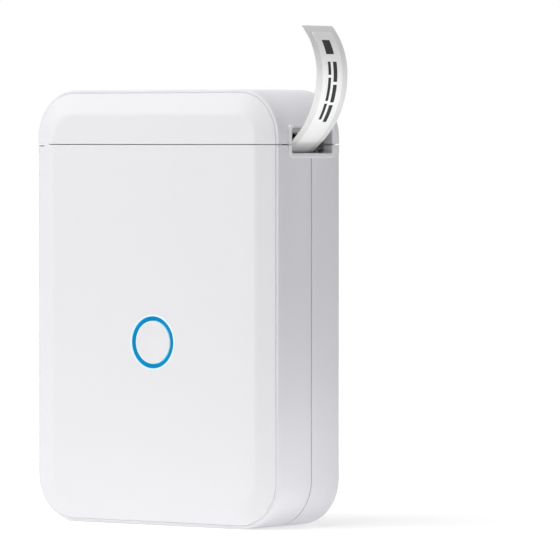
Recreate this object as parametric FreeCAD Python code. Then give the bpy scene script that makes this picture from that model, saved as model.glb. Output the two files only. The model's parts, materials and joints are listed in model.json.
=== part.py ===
import FreeCAD
import Part
import math
import os

# Upright pocket printer for adhesive labels. X runs to the right, Y to the back and Z up, in
# millimetres. The origin is the middle of the base. Labels unwind from a roll under the lid,
# pass between the print head and the platen, and leave through the outlet on the right.

Vector = FreeCAD.Vector

# Case
BODY_WIDTH = 89.0
BODY_HEIGHT = 127.6
CORNER_RADIUS = 14.0
WALL = 2.0
FRONT_WALL = 1.8
RIM_FILLET = 0.6
BACK_FILLET = 0.7
LID_HEIGHT = 16.05
TONGUE_LEFT_INSET = 6.0
TONGUE_RIGHT_INSET = 1.2
TONGUE_RISE = 0.8
TONGUE_END_GAP = 1.0
SEAM_GAP = 0.3
FRONT_SHELL_DEPTH = 16.0
SPLIT_GAP = 0.4
LIP_THICKNESS = 0.9
LIP_DEPTH = 1.4
LIP_CLEARANCE = 0.15

# Front panel, a shallow pillow set into the front
PANEL_MARGIN = 0.95
PANEL_GAP = 0.15
PANEL_SEAT = 1.2
PANEL_EDGE = 1.6
PANEL_RISE = 1.5
PANEL_BEVEL = 6.2
PANEL_BLEND = 8.0

# Button and its lit ring
RING_RADIUS = 7.65
RING_STROKE = 1.2
RING_PROUD = 0.05
RING_FLANGE = 1.5
RING_FLANGE_THICKNESS = 0.9
RING_HOLE_CLEARANCE = 0.05
BUTTON_GAP = 0.2
BUTTON_THICKNESS = 2.0
BUTTON_BELOW_BOARD_TOP = 10.3
BUTTON_TRAVEL = 0.45
BUTTON_EDGE = 0.3
STEM_RADIUS = 2.2
STEM_GAP = 0.05
LUG_REACH = 0.75
LUG_WIDTH = 2.0
LUG_THICKNESS = 0.7
LUG_GAP = 0.2

# Outlet and its bezel on the right side
OUTLET_BELOW_SEAM = 2.45
OUTLET_ABOVE_SEAM = 4.8
OUTLET_FRONT_ROOM = 0.5
OUTLET_REAR_ROOM = 4.4
OUTLET_CORNER = 0.7
BEZEL_TOP = 1.1
BEZEL_BOTTOM = 1.4
BEZEL_SIDE = 1.5
BEZEL_PROUD = 0.5
BEZEL_FLANGE = 0.9
BEZEL_FLANGE_THICKNESS = 1.0
BEZEL_ROUND = 0.4
BEZEL_CLEARANCE = 0.05

# Label stock
TAPE_WIDTH = 15.0
LINER = 0.25
LABEL = 0.15
LABEL_WIDTH = 9.6
LABEL_LENGTH = 40.0
LABEL_PITCH = 43.0
LABEL_MARGIN = 2.4
LABEL_CORNER = 1.2
EXIT_SLOPE = 40.0
EXIT_ABOVE_SEAM = 0.85
EXIT_INSET = 0.4
NIP_TO_EXIT = 9.5
CURL_RADII = (25.6, 20.4)
CURL_TURNS = (50.0, 43.0)
TAPE_WRAP = 60.0
ROLL_RADIUS = 20.5
ROLL_GAP = 0.3
CORE_RADIUS = 10.25
CORE_RIM = 1.5
HUB_WALL = 1.4
SPOKES = 3
SPOKE_WIDTH = 1.6
CORE_WEB = 1.2
FIT = 0.03

# Roll spindle
SPINDLE_RADIUS = 3.15
SPINDLE_CLEARANCE = 0.05
JOURNAL_RADIUS = 2.4
JOURNAL_CLEARANCE = 0.1
JOURNAL_PROUD = 0.3
SHOULDER_GAP = 0.2

# Chassis
PLATE = 1.4
PLATE_ROOM = 0.5
TAPE_FRONT_ROOM = 1.7
TAPE_REAR_ROOM = 1.1
SIDE_ROOM = 5.0
FLOOR = 1.6
BAY_ROOM = 2.0
PLATE_BELOW_SEAM = 2.3
PLATE_RIGHT_ROOM = 1.2
PLATE_UNDER_MOTOR = 10.5
RAMP_END = 14.0
PLATE_ARC_END = 284.0
SHOULDER_RISE = 4.1
SHOULDER_BACK = 8.5
SHOULDER_RUN = 5.25
SLOT_FLARE = 1.5
TAB_RADIUS = 3.0
TAB_INSET = 3.4
TAB_DIRECTION = 230.0
TAB_REACH = 3.6
RAMP_TAB_BACK = 14.0
TIE_BAR = (-3.5, -1.9, -9.0, -7.6)
ACCESS_RADIUS = 2.0

# Platen, carried by the lid
PLATEN_RADIUS = 5.0
PLATEN_GAP = 0.25
PLATEN_OVERHANG = 0.3
PLATEN_SHAFT_RADIUS = 1.5
BUSH_RADIUS = 2.4
BUSH_FLANGE_RADIUS = 3.2
BUSH_FLANGE = 0.4
RUNNING_CLEARANCE = 0.05
FRAME_WEB = 2.0
FRAME_DROP = 3.0
FRAME_BEHIND = 9.4
FRAME_AHEAD = 2.1
ARM_RADIUS = 3.6

# Tear bar
TEAR_THICKNESS = 0.5
TEAR_PITCH = 1.3
TEAR_TOOTH = 0.8
TEAR_LEG = 1.9
TEAR_SEAT = 2.2
TEAR_BACKSET = 0.8
TEAR_END_GAP = 0.2

# Drive train
MODULE = 0.5
PLATEN_TEETH = 24
IDLER_SMALL_TEETH = 20
IDLER_LARGE_TEETH = 34
PINION_TEETH = 12
PRESSURE_ANGLE = 20.0
DEDENDUM = 1.25
TOOTH_SHARE = 0.46
MESH_SLACK = 0.05
IDLER_BEARING = -95.0
MOTOR_BEARING = -81.0
GEAR_WIDTH = 1.5
GEAR_ROOM = 0.3
GEAR_STEP = 0.2
BACK_ROOM = 0.6
STUD_RADIUS = 1.0
STUD_HEAD_RADIUS = 1.7
STUD_HEAD = 0.3
STUD_END_GAP = 0.1
MOTOR_RADIUS = 7.0
MOTOR_LENGTH = 11.2
MOTOR_FLANGE = 0.8
MOTOR_BOSS_RADIUS = 2.5
MOTOR_SHAFT_RADIUS = 0.75
MOTOR_EAR_SPAN = 17.0
MOTOR_EAR_RADIUS = 2.0
MOTOR_EAR_DIRECTION = 60.0
MOTOR_BACK_WALL = 1.2
MOTOR_EDGE = 0.8

# Print head, measured along the tape (s) and square to it (h) from the nip
HEAD_CERAMIC = (-7.4, 1.4, -1.53, -0.53)
HEAD_RIDGE_RADIUS = 0.5
HEAD_RIDGE_RISE = 0.08
HEAT_SINK = (-8.4, 0.6, -3.73)
HEAT_SINK_FIN = 1.2
HEAD_FRONT_MARGIN = 0.4
HEAD_REAR_MARGIN = 0.1
BRACKET = (-12.3, -1.0, 0.8)
BRACKET_FRONT_GAP = 0.2
BRACKET_REAR_GAP = 0.1
PIVOT = (-11.0, -2.6)
PIVOT_RADIUS = 0.8
PIVOT_EAR_RADIUS = 1.7
SPRING_THICKNESS = 0.3
SPRING_WIDTH = 6.0
SPRING_LEAF = 1.6
SPRING_GAP = 0.03
SENSOR = (-22.0, -18.0)
SENSOR_WIDTH = 4.0
SENSOR_GAP = 0.1

# Hinge
HINGE_INSET = 1.8
HINGE_ABOVE_SEAM = 3.2
HINGE_RADIUS = 1.7
HINGE_PIN_RADIUS = 0.75
HINGE_SIDE_GAP = 0.3
HINGE_EAR_FROM = 6.0
HINGE_EAR_WIDTH = 4.0
HINGE_NOTCH = 0.4
HINGE_SWEEP_GAP = 0.3
HINGE_STEM = 5.0

# Board, socket and battery
BOARD_WIDTH = 66.0
BOARD_BASE = 6.0
BOARD_ROOM = 3.4
BOARD_STANDOFF = 4.3
BOARD_THICKNESS = 1.2
BOARD_HOLE_INSET = 4.0
SWITCH_SIZE = 6.0
SWITCH_HEIGHT = 1.6
PLUNGER_RADIUS = 1.5
PLUNGER_PROUD = 0.5
PLUNGER_DEPTH = 0.8
LED_SIZE = 1.6
LED_HEIGHT = 0.7
RING_LEDS = 4
FIRST_LED = 45.0
PORT_HEIGHT = 27.0
PORT_WIDTH = 8.94
PORT_THICKNESS = 3.26
PORT_LENGTH = 7.3
PORT_SKIN = 0.3
PORT_DEPTH = 6.2
PORT_TONGUE = 0.7
PORT_TONGUE_BACK = 0.9
PORT_SETBACK = 0.9
PORT_CLEARANCE = 0.3
TONGUE_ROOM = 2.1
TONGUE_WIDTH = 16.0
BATTERY_WIDTH = 50.0
BATTERY_HEIGHT = 34.0
BATTERY_THICKNESS = 7.2
BATTERY_BASE = 14.0
BATTERY_ROUND = 1.5
TERMINAL_INSET = 6.0
TERMINAL_HEIGHT = 1.5
TERMINAL_THICKNESS = 3.0
PAD_THICKNESS = 0.9
PAD_INSET = 4.0

# On the board's back: each place is X and how far its middle is below the board's top
MODULE_PLACE = (-19.0, 18.0)
MODULE_CARRIER = (13.0, 17.0, 0.8)
MODULE_CAN = (11.2, 10.6, 1.6)
MODULE_CAN_DROP = 2.3
MODULE_CAN_ROUND = 0.4
CHIPS = (((-4.0, 24.0), (7.0, 7.0, 0.9)), ((10.0, 18.0), (5.0, 5.0, 0.8)), ((-4.0, 38.0), (4.0, 5.0, 1.0)),
         ((-18.0, 37.0), (3.0, 3.0, 0.8)), ((8.0, 36.0), (6.0, 3.0, 1.2)), ((-12.0, 47.0), (2.0, 3.2, 1.1)))
PLUG = (7.0, 4.5, 3.0)
PLUG_WALL = 0.6
MOTOR_PLUG = (19.0, 8.0)
BATTERY_PLUG = (22.0, 24.0)

# Leads, by the middle of each bundle
WIRE_RADIUS = 0.4
WIRE_PITCH = 1.0
SHEATH_RADIUS = 0.9
WIRE_BEND = 0.45
BATTERY_WIRES = 2
BATTERY_LEAD_INSET = 15.0
BATTERY_LEAD_RISE = 5.0
MOTOR_LEAD_BACK = 3.6
MOTOR_LEAD_DROP = 6.0
LEAD_ABOVE_PLUG = 8.0

# Screws and bosses
BOSS_RADIUS = 2.8
SMALL_BOSS_RADIUS = 2.2
HOUSING_BOSS_INSET = 3.9
HOUSING_BOSS_BASE = 14.0
HOUSING_SCREW_SEAT = 3.0
HOUSING_SCREW = (1.8, 1.4, 0.9, 9.0)
SMALL_SCREW = (1.7, 0.8, 0.75, 3.6)
MOTOR_SCREW = (1.5, 0.8, 0.75, 2.0)
SCREW_CLEARANCE = 0.1
HEAD_CLEARANCE = 0.2
DRIVE_SHARE = 0.8
HOUSING_BOSS_DROP = 1.0

# Nearness that counts as touching
CLOSE = 1e-4

# Places along the depth, from the front rim to the back
body_depth = (PANEL_SEAT + FRONT_WALL + PLATE_ROOM + PLATE + TAPE_FRONT_ROOM + TAPE_WIDTH
              + TAPE_REAR_ROOM + PLATE + GEAR_ROOM + 2 * GEAR_WIDTH + GEAR_STEP + BACK_ROOM + WALL)
front_y = -body_depth / 2
back_y = body_depth / 2
panel_floor = front_y + PANEL_SEAT
panel_edge = panel_floor - PANEL_EDGE
panel_flat = panel_edge - PANEL_RISE
inner_front = panel_floor + FRONT_WALL
inner_back = back_y - WALL
split_y = front_y + FRONT_SHELL_DEPTH
plate_front = inner_front + PLATE_ROOM
bay_front = plate_front + PLATE
tape_front = bay_front + TAPE_FRONT_ROOM
tape_back = tape_front + TAPE_WIDTH
bay_back = tape_back + TAPE_REAR_ROOM
plate_back = bay_back + PLATE
gear_low = plate_back + GEAR_ROOM
gear_middle = gear_low + GEAR_WIDTH
gear_high = gear_middle + GEAR_STEP
gear_end = gear_high + GEAR_WIDTH
board_front = inner_front + BOARD_STANDOFF
board_back = board_front + BOARD_THICKNESS
battery_back = inner_back - PAD_THICKNESS
battery_front = battery_back - BATTERY_THICKNESS

# Places across and up
half_width = BODY_WIDTH / 2
inner_half = half_width - WALL
seam = BODY_HEIGHT - LID_HEIGHT
seam_low = seam - SEAM_GAP / 2
seam_high = seam + SEAM_GAP / 2
ceiling = BODY_HEIGHT - WALL
hinge_x = HINGE_INSET - half_width
hinge_z = seam + HINGE_ABOVE_SEAM
hinge_sweep = math.hypot(HINGE_INSET, hinge_z - seam_high) + HINGE_SWEEP_GAP
REACH = BODY_WIDTH + BODY_HEIGHT

# Tape path: up the slope from the roll to the nip and out
slope = math.radians(EXIT_SLOPE)
along = (math.cos(slope), math.sin(slope))
across = (-math.sin(slope), math.cos(slope))
exit_x = half_width - EXIT_INSET
exit_z = seam + EXIT_ABOVE_SEAM
nip_x = exit_x - NIP_TO_EXIT * along[0]
nip_z = exit_z - NIP_TO_EXIT * along[1]
tape_radius = ROLL_RADIUS + ROLL_GAP + LINER / 2
roll_x = SIDE_ROOM + FLOOR + BAY_ROOM + ROLL_RADIUS - inner_half
tape_run = (nip_x - roll_x - tape_radius * math.sin(slope)) / along[0]
roll_z = nip_z - tape_run * along[1] + tape_radius * along[0]

# Drive centres
platen_lift = PLATEN_RADIUS + PLATEN_GAP + LINER / 2
platen_x = nip_x + platen_lift * across[0]
platen_z = nip_z + platen_lift * across[1]
first_centres = MODULE * (PLATEN_TEETH + IDLER_SMALL_TEETH) / 2 + MESH_SLACK
second_centres = MODULE * (IDLER_LARGE_TEETH + PINION_TEETH) / 2 + MESH_SLACK
idler_x = platen_x + first_centres * math.cos(math.radians(IDLER_BEARING))
idler_z = platen_z + first_centres * math.sin(math.radians(IDLER_BEARING))
motor_x = idler_x + second_centres * math.cos(math.radians(MOTOR_BEARING))
motor_z = idler_z + second_centres * math.sin(math.radians(MOTOR_BEARING))

# Chassis, board and boss places
bay_radius = ROLL_RADIUS + BAY_ROOM
floor_radius = bay_radius + FLOOR
plate_top = seam_low - PLATE_BELOW_SEAM
plate_low = motor_z - PLATE_UNDER_MOTOR
plate_right = inner_half - PLATE_RIGHT_ROOM
board_top = roll_z - floor_radius - BOARD_ROOM
button_z = board_top - BUTTON_BELOW_BOARD_TOP
switch_front = board_front - SWITCH_HEIGHT
plunger_front = switch_front - PLUNGER_PROUD
ring_inner = RING_RADIUS - RING_STROKE
ring_back = inner_front + RING_FLANGE_THICKNESS
outlet_low = seam - OUTLET_BELOW_SEAM
outlet_high = seam + OUTLET_ABOVE_SEAM
outlet_front = tape_front - OUTLET_FRONT_ROOM
outlet_back = tape_back + OUTLET_REAR_ROOM
board_holes = [(side * (BOARD_WIDTH / 2 - BOARD_HOLE_INSET), z) for side in (-1, 1)
               for z in (BOARD_BASE + BOARD_HOLE_INSET, board_top - BOARD_HOLE_INSET)]
housing_bosses = [(side * (inner_half - HOUSING_BOSS_INSET), z) for side in (-1, 1)
                  for z in (HOUSING_BOSS_BASE, board_top - HOUSING_BOSS_DROP)]


def nip(s, h):
    """Point s along the tape from the nip and h above its middle."""
    return (nip_x + s * along[0] + h * across[0], nip_z + s * along[1] + h * across[1])


pivot_x, pivot_z = nip(*PIVOT)
tab_angle = math.radians(TAB_DIRECTION)
corner_tab = (roll_x - bay_radius + TAB_INSET, plate_top - TAB_INSET)
lug_tab = (roll_x + (floor_radius + TAB_REACH) * math.cos(tab_angle),
           roll_z + (floor_radius + TAB_REACH) * math.sin(tab_angle))
ramp_tab = (motor_x - RAMP_TAB_BACK, plate_low + TAB_INSET)
chassis_tabs = [corner_tab, lug_tab, ramp_tab]
ear_angle = math.radians(MOTOR_EAR_DIRECTION)
motor_ears = [(motor_x + side * MOTOR_EAR_SPAN / 2 * math.cos(ear_angle),
               motor_z + side * MOTOR_EAR_SPAN / 2 * math.sin(ear_angle)) for side in (-1, 1)]


def box(x0, x1, y0, y1, z0, z1):
    return Part.makeBox(x1 - x0, y1 - y0, z1 - z0, Vector(x0, y0, z0))


def rod(x, z, radius, y0, y1):
    """Round bar along Y."""
    return Part.makeCylinder(radius, y1 - y0, Vector(x, y0, z), Vector(0, 1, 0))


def post(x, y, radius, z0, z1):
    """Round bar along Z."""
    return Part.makeCylinder(radius, z1 - z0, Vector(x, y, z0))


def join(*shapes):
    return shapes[0].multiFuse(list(shapes[1:])).removeSplitter()


def slab(points, y0, y1):
    """Plate with a straight-sided outline in X and Z, thick along Y."""
    corners = [Vector(x, y0, z) for x, z in points]
    face = Part.Face(Part.makePolygon(corners + corners[:1]))
    return face.extrude(Vector(0, y1 - y0, 0))


def nip_block(s0, s1, h0, h1, y0, y1):
    return slab([nip(s0, h0), nip(s1, h0), nip(s1, h1), nip(s0, h1)], y0, y1)


def rounded_rectangle(a0, a1, b0, b1, radius, place):
    """Closed wire with round corners; place turns the pair (a, b) into a point."""
    corners = ((a1 - radius, b0 + radius), (a1 - radius, b1 - radius),
               (a0 + radius, b1 - radius), (a0 + radius, b0 + radius))
    arcs = []
    for quarter, (a, b) in enumerate(corners):
        turns = [math.radians(90 * quarter - 90 + step) for step in (0, 45, 90)]
        arcs.append([place(a + radius * math.cos(turn), b + radius * math.sin(turn)) for turn in turns])
    edges = []
    for arc, following in zip(arcs, arcs[1:] + arcs[:1]):
        edges.append(Part.Arc(*arc).toShape())
        edges.append(Part.LineSegment(arc[2], following[0]).toShape())
    return Part.Wire(edges)


def outline(inset, y):
    """The case's front outline, drawn in by the inset."""
    return rounded_rectangle(inset - half_width, half_width - inset, inset, BODY_HEIGHT - inset,
                             CORNER_RADIUS - inset, lambda a, b: Vector(a, y, b))


def case_prism(inset, y0, y1):
    return Part.Face(outline(inset, y0)).extrude(Vector(0, y1 - y0, 0))


def edges_at(shape, axis, place):
    """Edges that lie in the plane where the axis has that value."""
    found = []
    for edge in shape.Edges:
        bounds = edge.BoundBox
        low = getattr(bounds, axis + "Min")
        high = getattr(bounds, axis + "Max")
        if abs(low - place) < CLOSE and abs(high - place) < CLOSE:
            found.append(edge)
    return found


def round_at(shape, axis, place, radius):
    return shape.makeFillet(radius, edges_at(shape, axis, place))


def bevel_at(shape, axis, place, size):
    return shape.makeChamfer(size, edges_at(shape, axis, place))


def point_on(stretch, distance, offset):
    """Point on a stretch of a path, set off to its left."""
    x, z, heading, length, radius = stretch
    if radius == 0:
        return (x + distance * math.cos(heading) - offset * math.sin(heading),
                z + distance * math.sin(heading) + offset * math.cos(heading))
    turned = heading + distance / radius
    reach = radius - offset
    return (x - radius * math.sin(heading) + reach * math.sin(turned),
            z + radius * math.cos(heading) - reach * math.cos(turned))


def path_of(x, z, heading, runs):
    """Stretches of a path from runs of (length, radius); bends turn left, radius 0 is straight."""
    stretches = []
    for length, radius in runs:
        stretch = (x, z, heading, length, radius)
        stretches.append(stretch)
        x, z = point_on(stretch, length, 0)
        if radius:
            heading += length / radius
    return stretches


def part_of(path, first, last):
    """The piece of a path between two distances from its start."""
    piece = []
    start = 0
    for stretch in path:
        x, z, heading, length, radius = stretch
        low = max(first - start, 0)
        high = min(last - start, length)
        if high - low > CLOSE:
            begin = point_on(stretch, low, 0)
            turned = heading + low / radius if radius else heading
            piece.append((begin[0], begin[1], turned, high - low, radius))
        start += length
    return piece


def ribbon(path, low, high, y0, y1):
    """Bent sheet that follows a path between two offsets to its left."""
    edges = []
    for offset in (low, high):
        for stretch in path:
            length = stretch[3]
            steps = [Vector(x, y0, z) for x, z in
                     (point_on(stretch, share * length, offset) for share in (0, 0.5, 1))]
            if stretch[4]:
                edges.append(Part.Arc(*steps).toShape())
            else:
                edges.append(Part.LineSegment(steps[0], steps[2]).toShape())
    for stretch, distance in ((path[0], 0), (path[-1], path[-1][3])):
        ends = [Vector(x, y0, z) for x, z in (point_on(stretch, distance, side) for side in (low, high))]
        edges.append(Part.LineSegment(*ends).toShape())
    wire = Part.Wire(Part.__sortEdges__(edges))
    return Part.Face(wire).extrude(Vector(0, y1 - y0, 0))


def screw(sizes, x, z, y_seat, toward):
    """Screw along Y: its head's underside is at y_seat and its shank points toward +1 or -1."""
    head_radius, head_height, shank_radius, shank_length = sizes
    head_y = sorted((y_seat, y_seat - toward * head_height))
    shank_y = sorted((y_seat, y_seat + toward * shank_length))
    drive_y = sorted((y_seat - toward * head_height / 2, y_seat - toward * head_height))
    drive = rod(x, z, shank_radius * DRIVE_SHARE, *drive_y)
    return join(rod(x, z, head_radius, *head_y), rod(x, z, shank_radius, *shank_y)).cut(drive)


def gear(teeth, x, z, first_tooth, y0, y1):
    """Spur gear with involute flanks; first_tooth is the direction of one tooth's middle."""
    pitch_radius = MODULE * teeth / 2
    tip = pitch_radius + MODULE
    root = pitch_radius - DEDENDUM * MODULE
    base = pitch_radius * math.cos(math.radians(PRESSURE_ANGLE))

    def half_angle(radius):
        pressure = math.radians(PRESSURE_ANGLE)
        rolled = math.acos(min(1, base / radius))
        return (TOOTH_SHARE * math.pi / teeth + math.tan(pressure) - pressure
                - math.tan(rolled) + rolled)

    def at(radius, turn):
        return Vector(x + radius * math.cos(turn), y0, z + radius * math.sin(turn))

    foot = max(root, base)
    belly = (foot + tip) / 2
    edges = []
    for tooth in range(teeth):
        middle = first_tooth + 2 * math.pi * tooth / teeth
        following = middle + 2 * math.pi / teeth
        low = [at(radius, middle - half_angle(radius)) for radius in (foot, belly, tip)]
        high = [at(radius, middle + half_angle(radius)) for radius in (tip, belly, foot)]
        root_from = at(root, middle + half_angle(foot))
        root_to = at(root, following - half_angle(foot))
        next_foot = at(foot, following - half_angle(foot))
        edges += [Part.Arc(*low).toShape(), Part.LineSegment(low[2], high[0]).toShape(),
                  Part.Arc(*high).toShape()]
        if foot > root:
            edges.append(Part.LineSegment(high[2], root_from).toShape())
        edges.append(Part.LineSegment(root_from, root_to).toShape())
        if foot > root:
            edges.append(Part.LineSegment(root_to, next_foot).toShape())
    return Part.Face(Part.Wire(edges)).extrude(Vector(0, y1 - y0, 0))


def meshing_tooth(direction, teeth, first_tooth, other_teeth):
    """First tooth of a gear that meshes with one lying back along the direction."""
    step = 2 * math.pi / teeth
    phase = (direction - first_tooth) / step
    return direction + math.pi - (2 * math.pi / other_teeth) * (0.5 - phase)


def lead(points, radius):
    """Round lead along straight runs joined by tangent arcs."""
    corners = [Vector(*point) for point in points]
    edges = []
    start = corners[0]
    for before, corner, after in zip(corners, corners[1:], corners[2:]):
        back = (before - corner).normalize()
        ahead = (after - corner).normalize()
        setback = WIRE_BEND * min((before - corner).Length, (after - corner).Length)
        half = back.getAngle(ahead) / 2
        bisector = (back + ahead).normalize()
        enter = corner + back * setback
        leave = corner + ahead * setback
        middle = corner + bisector * (setback / math.cos(half) - setback * math.tan(half))
        edges.append(Part.LineSegment(start, enter).toShape())
        edges.append(Part.Arc(enter, middle, leave).toShape())
        start = leave
    edges.append(Part.LineSegment(start, corners[-1]).toShape())
    section = Part.Wire(Part.makeCircle(radius, corners[0], corners[1] - corners[0]))
    return Part.Wire(edges).makePipeShell([section], True, False)


def case_shell():
    """Whole hollow case, before it is split into housings and lid."""
    block = case_prism(0, front_y, back_y)
    block = round_at(block, "Y", front_y, RIM_FILLET)
    block = round_at(block, "Y", back_y, BACK_FILLET)
    recess = case_prism(PANEL_MARGIN, front_y, panel_floor)
    return block.cut(recess).cut(case_prism(WALL, inner_front, inner_back))


def outlet_block(grow, x0, x1):
    """The bezel's outline, grown all round, as a bar along X."""
    wire = rounded_rectangle(outlet_front - BEZEL_SIDE - grow, outlet_back + BEZEL_SIDE + grow,
                             outlet_low - BEZEL_BOTTOM - grow, outlet_high + BEZEL_TOP + grow,
                             OUTLET_CORNER + BEZEL_TOP + grow, lambda a, b: Vector(x0, a, b))
    return Part.Face(wire).extrude(Vector(x1 - x0, 0, 0))


def hinge_relief():
    """Space that the lid's lower left edge sweeps as it opens."""
    return rod(hinge_x, hinge_z, hinge_sweep, -REACH, REACH)


def hinge_ear(y0, y1):
    root_z = seam_low - HINGE_STEM
    stem = box(hinge_x - HINGE_RADIUS, hinge_x + HINGE_RADIUS, y0, y1, root_z, hinge_z)
    toe = slab([(hinge_x - HINGE_RADIUS, root_z), (hinge_x + HINGE_RADIUS, root_z),
                (hinge_x - HINGE_RADIUS, root_z - HINGE_STEM)], y0, y1)
    ear = join(stem, toe, rod(hinge_x, hinge_z, HINGE_RADIUS, y0, y1))
    return ear.cut(rod(hinge_x, hinge_z, HINGE_PIN_RADIUS + FIT, y0, y1))


def seam_bars(side_gap, end_gap, z0, z1):
    """Bars in the inner half of the front and back walls: the housings' tongues or the lid's rebates."""
    bars = []
    for inner, outer in ((inner_front, panel_floor), (inner_back, back_y)):
        outward = math.copysign(1, outer - inner)
        y0, y1 = sorted((inner, (inner + outer) / 2 + outward * side_gap))
        bars.append(box(TONGUE_LEFT_INSET - half_width - end_gap, half_width - TONGUE_RIGHT_INSET + side_gap,
                        y0, y1, z0, z1))
    return bars


def front_housing():
    below_seam = box(-REACH, REACH, -REACH, split_y - SPLIT_GAP / 2, -REACH, seam_low)
    shell = case_shell().common(below_seam)
    lip_from = inner_front + FRONT_WALL
    lip_to = split_y + LIP_DEPTH
    lip = case_prism(WALL - LIP_THICKNESS, lip_from, lip_to).cut(case_prism(WALL, lip_from, lip_to))
    lip = lip.common(box(-REACH, REACH, -REACH, REACH, -REACH, seam_low))
    root_y = inner_front - FRONT_WALL / 2
    bosses = [rod(x, z, BOSS_RADIUS, root_y, split_y) for x, z in housing_bosses]
    bosses += [rod(x, z, SMALL_BOSS_RADIUS, root_y, board_front) for x, z in board_holes]
    tongue = seam_bars(0, 0, seam_low - TONGUE_RISE, seam_high + TONGUE_RISE)[0]
    body = join(shell, lip, tongue, *bosses).cut(hinge_relief())
    body = join(body, hinge_ear(-HINGE_EAR_FROM - HINGE_EAR_WIDTH, -HINGE_EAR_FROM))
    pilots = [rod(x, z, HOUSING_SCREW[2] + SCREW_CLEARANCE / 2, split_y - HOUSING_SCREW[3], split_y)
              for x, z in housing_bosses]
    pilots += [rod(x, z, SMALL_SCREW[2] + SCREW_CLEARANCE / 2, inner_front, board_front)
               for x, z in board_holes]
    ring_hole = rod(0, button_z, RING_RADIUS + RING_HOLE_CLEARANCE, panel_floor, inner_front)
    outlet = outlet_block(BEZEL_CLEARANCE, inner_half - WALL, half_width + WALL)
    return body.cut(Part.makeCompound(pilots)).cut(ring_hole).cut(outlet).cut(port_slot())


def port_slot():
    """Opening for the socket in the left wall."""
    y0 = board_back - PORT_CLEARANCE
    y1 = board_back + PORT_THICKNESS + PORT_CLEARANCE
    reach = PORT_WIDTH / 2 + PORT_CLEARANCE
    wire = rounded_rectangle(y0, y1, PORT_HEIGHT - reach, PORT_HEIGHT + reach, (y1 - y0) / 2 - FIT,
                             lambda a, b: Vector(-half_width - WALL, a, b))
    return Part.Face(wire).extrude(Vector(3 * WALL, 0, 0))


def rear_housing():
    shell = case_shell().common(box(-REACH, REACH, split_y + SPLIT_GAP / 2, REACH, -REACH, seam_low))
    groove = case_prism(WALL - LIP_THICKNESS - LIP_CLEARANCE, split_y, split_y + LIP_DEPTH + LIP_CLEARANCE)
    shell = shell.cut(groove)
    root_y = inner_back + WALL / 2
    bosses = [rod(x, z, BOSS_RADIUS, split_y, root_y) for x, z in housing_bosses]
    bosses += [rod(x, z, SMALL_BOSS_RADIUS, plate_back, root_y) for x, z in chassis_tabs]
    tongue = seam_bars(0, 0, seam_low - TONGUE_RISE, seam_high + TONGUE_RISE)[1]
    body = join(shell, tongue, *bosses).cut(hinge_relief())
    body = join(body, hinge_ear(HINGE_EAR_FROM, HINGE_EAR_FROM + HINGE_EAR_WIDTH))
    seat = split_y + HOUSING_SCREW_SEAT
    holes = [rod(x, z, HOUSING_SCREW[2] + SCREW_CLEARANCE, split_y, seat) for x, z in housing_bosses]
    holes += [rod(x, z, HOUSING_SCREW[0] + HEAD_CLEARANCE, seat, back_y) for x, z in housing_bosses]
    holes += [rod(x, z, SMALL_SCREW[2] + SCREW_CLEARANCE / 2, plate_back, inner_back)
              for x, z in chassis_tabs]
    outlet = outlet_block(BEZEL_CLEARANCE, inner_half - WALL, half_width + WALL)
    return body.cut(Part.makeCompound(holes)).cut(outlet)


def lid_bosses():
    """Places of the two bosses under the lid's ceiling."""
    x = platen_x + (FRAME_AHEAD - FRAME_BEHIND) / 2
    return [(x, tape_front + SMALL_BOSS_RADIUS), (x, tape_back - SMALL_BOSS_RADIUS)]


def lid_shell():
    shell = case_shell().common(box(-REACH, REACH, -REACH, REACH, seam_high, REACH))
    notch_x = hinge_x + HINGE_RADIUS + HINGE_SIDE_GAP
    for side in (-1, 1):
        y0, y1 = sorted((side * HINGE_EAR_FROM, side * (HINGE_EAR_FROM + HINGE_EAR_WIDTH)))
        shell = shell.cut(box(-REACH, notch_x, y0 - HINGE_SIDE_GAP, y1 + HINGE_SIDE_GAP, -REACH,
                              hinge_z + HINGE_RADIUS + HINGE_NOTCH))
    knuckle_end = HINGE_EAR_FROM - HINGE_SIDE_GAP
    knuckle = rod(hinge_x, hinge_z, HINGE_RADIUS, -knuckle_end, knuckle_end)
    bosses = [post(x, y, SMALL_BOSS_RADIUS, ceiling - FRAME_DROP, ceiling + WALL / 2)
              for x, y in lid_bosses()]
    rebates = seam_bars(LIP_CLEARANCE, TONGUE_END_GAP, seam_low, seam_high + TONGUE_RISE + SEAM_GAP)
    shell = join(shell, knuckle, *bosses).cut(Part.makeCompound(rebates))
    pilots = [post(x, y, SMALL_SCREW[2] + SCREW_CLEARANCE / 2, ceiling - FRAME_DROP, ceiling)
              for x, y in lid_bosses()]
    bore = rod(hinge_x, hinge_z, HINGE_PIN_RADIUS + RUNNING_CLEARANCE, -knuckle_end, knuckle_end)
    outlet = outlet_block(BEZEL_CLEARANCE, inner_half - WALL, half_width + WALL)
    return shell.cut(Part.makeCompound(pilots + [bore])).cut(outlet)


def whole_panel():
    """Pillowed panel over the whole front, before the seam cuts it."""
    margin = PANEL_MARGIN + PANEL_GAP
    plate = case_prism(margin, panel_edge, panel_floor)
    pillow = Part.makeLoft([outline(margin, panel_edge), outline(margin + PANEL_BEVEL, panel_flat)],
                           True, True)
    panel = join(plate, pillow)
    return round_at(panel, "Y", panel_flat, PANEL_BLEND)


def front_panel():
    panel = whole_panel().common(box(-REACH, REACH, -REACH, REACH, -REACH, seam_low))
    ring_hole = rod(0, button_z, RING_RADIUS + RING_HOLE_CLEARANCE, panel_flat - WALL, panel_floor)
    return panel.cut(ring_hole).cut(hinge_relief())


def lid_front_panel():
    return whole_panel().common(box(-REACH, REACH, -REACH, REACH, seam_high, REACH))


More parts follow.
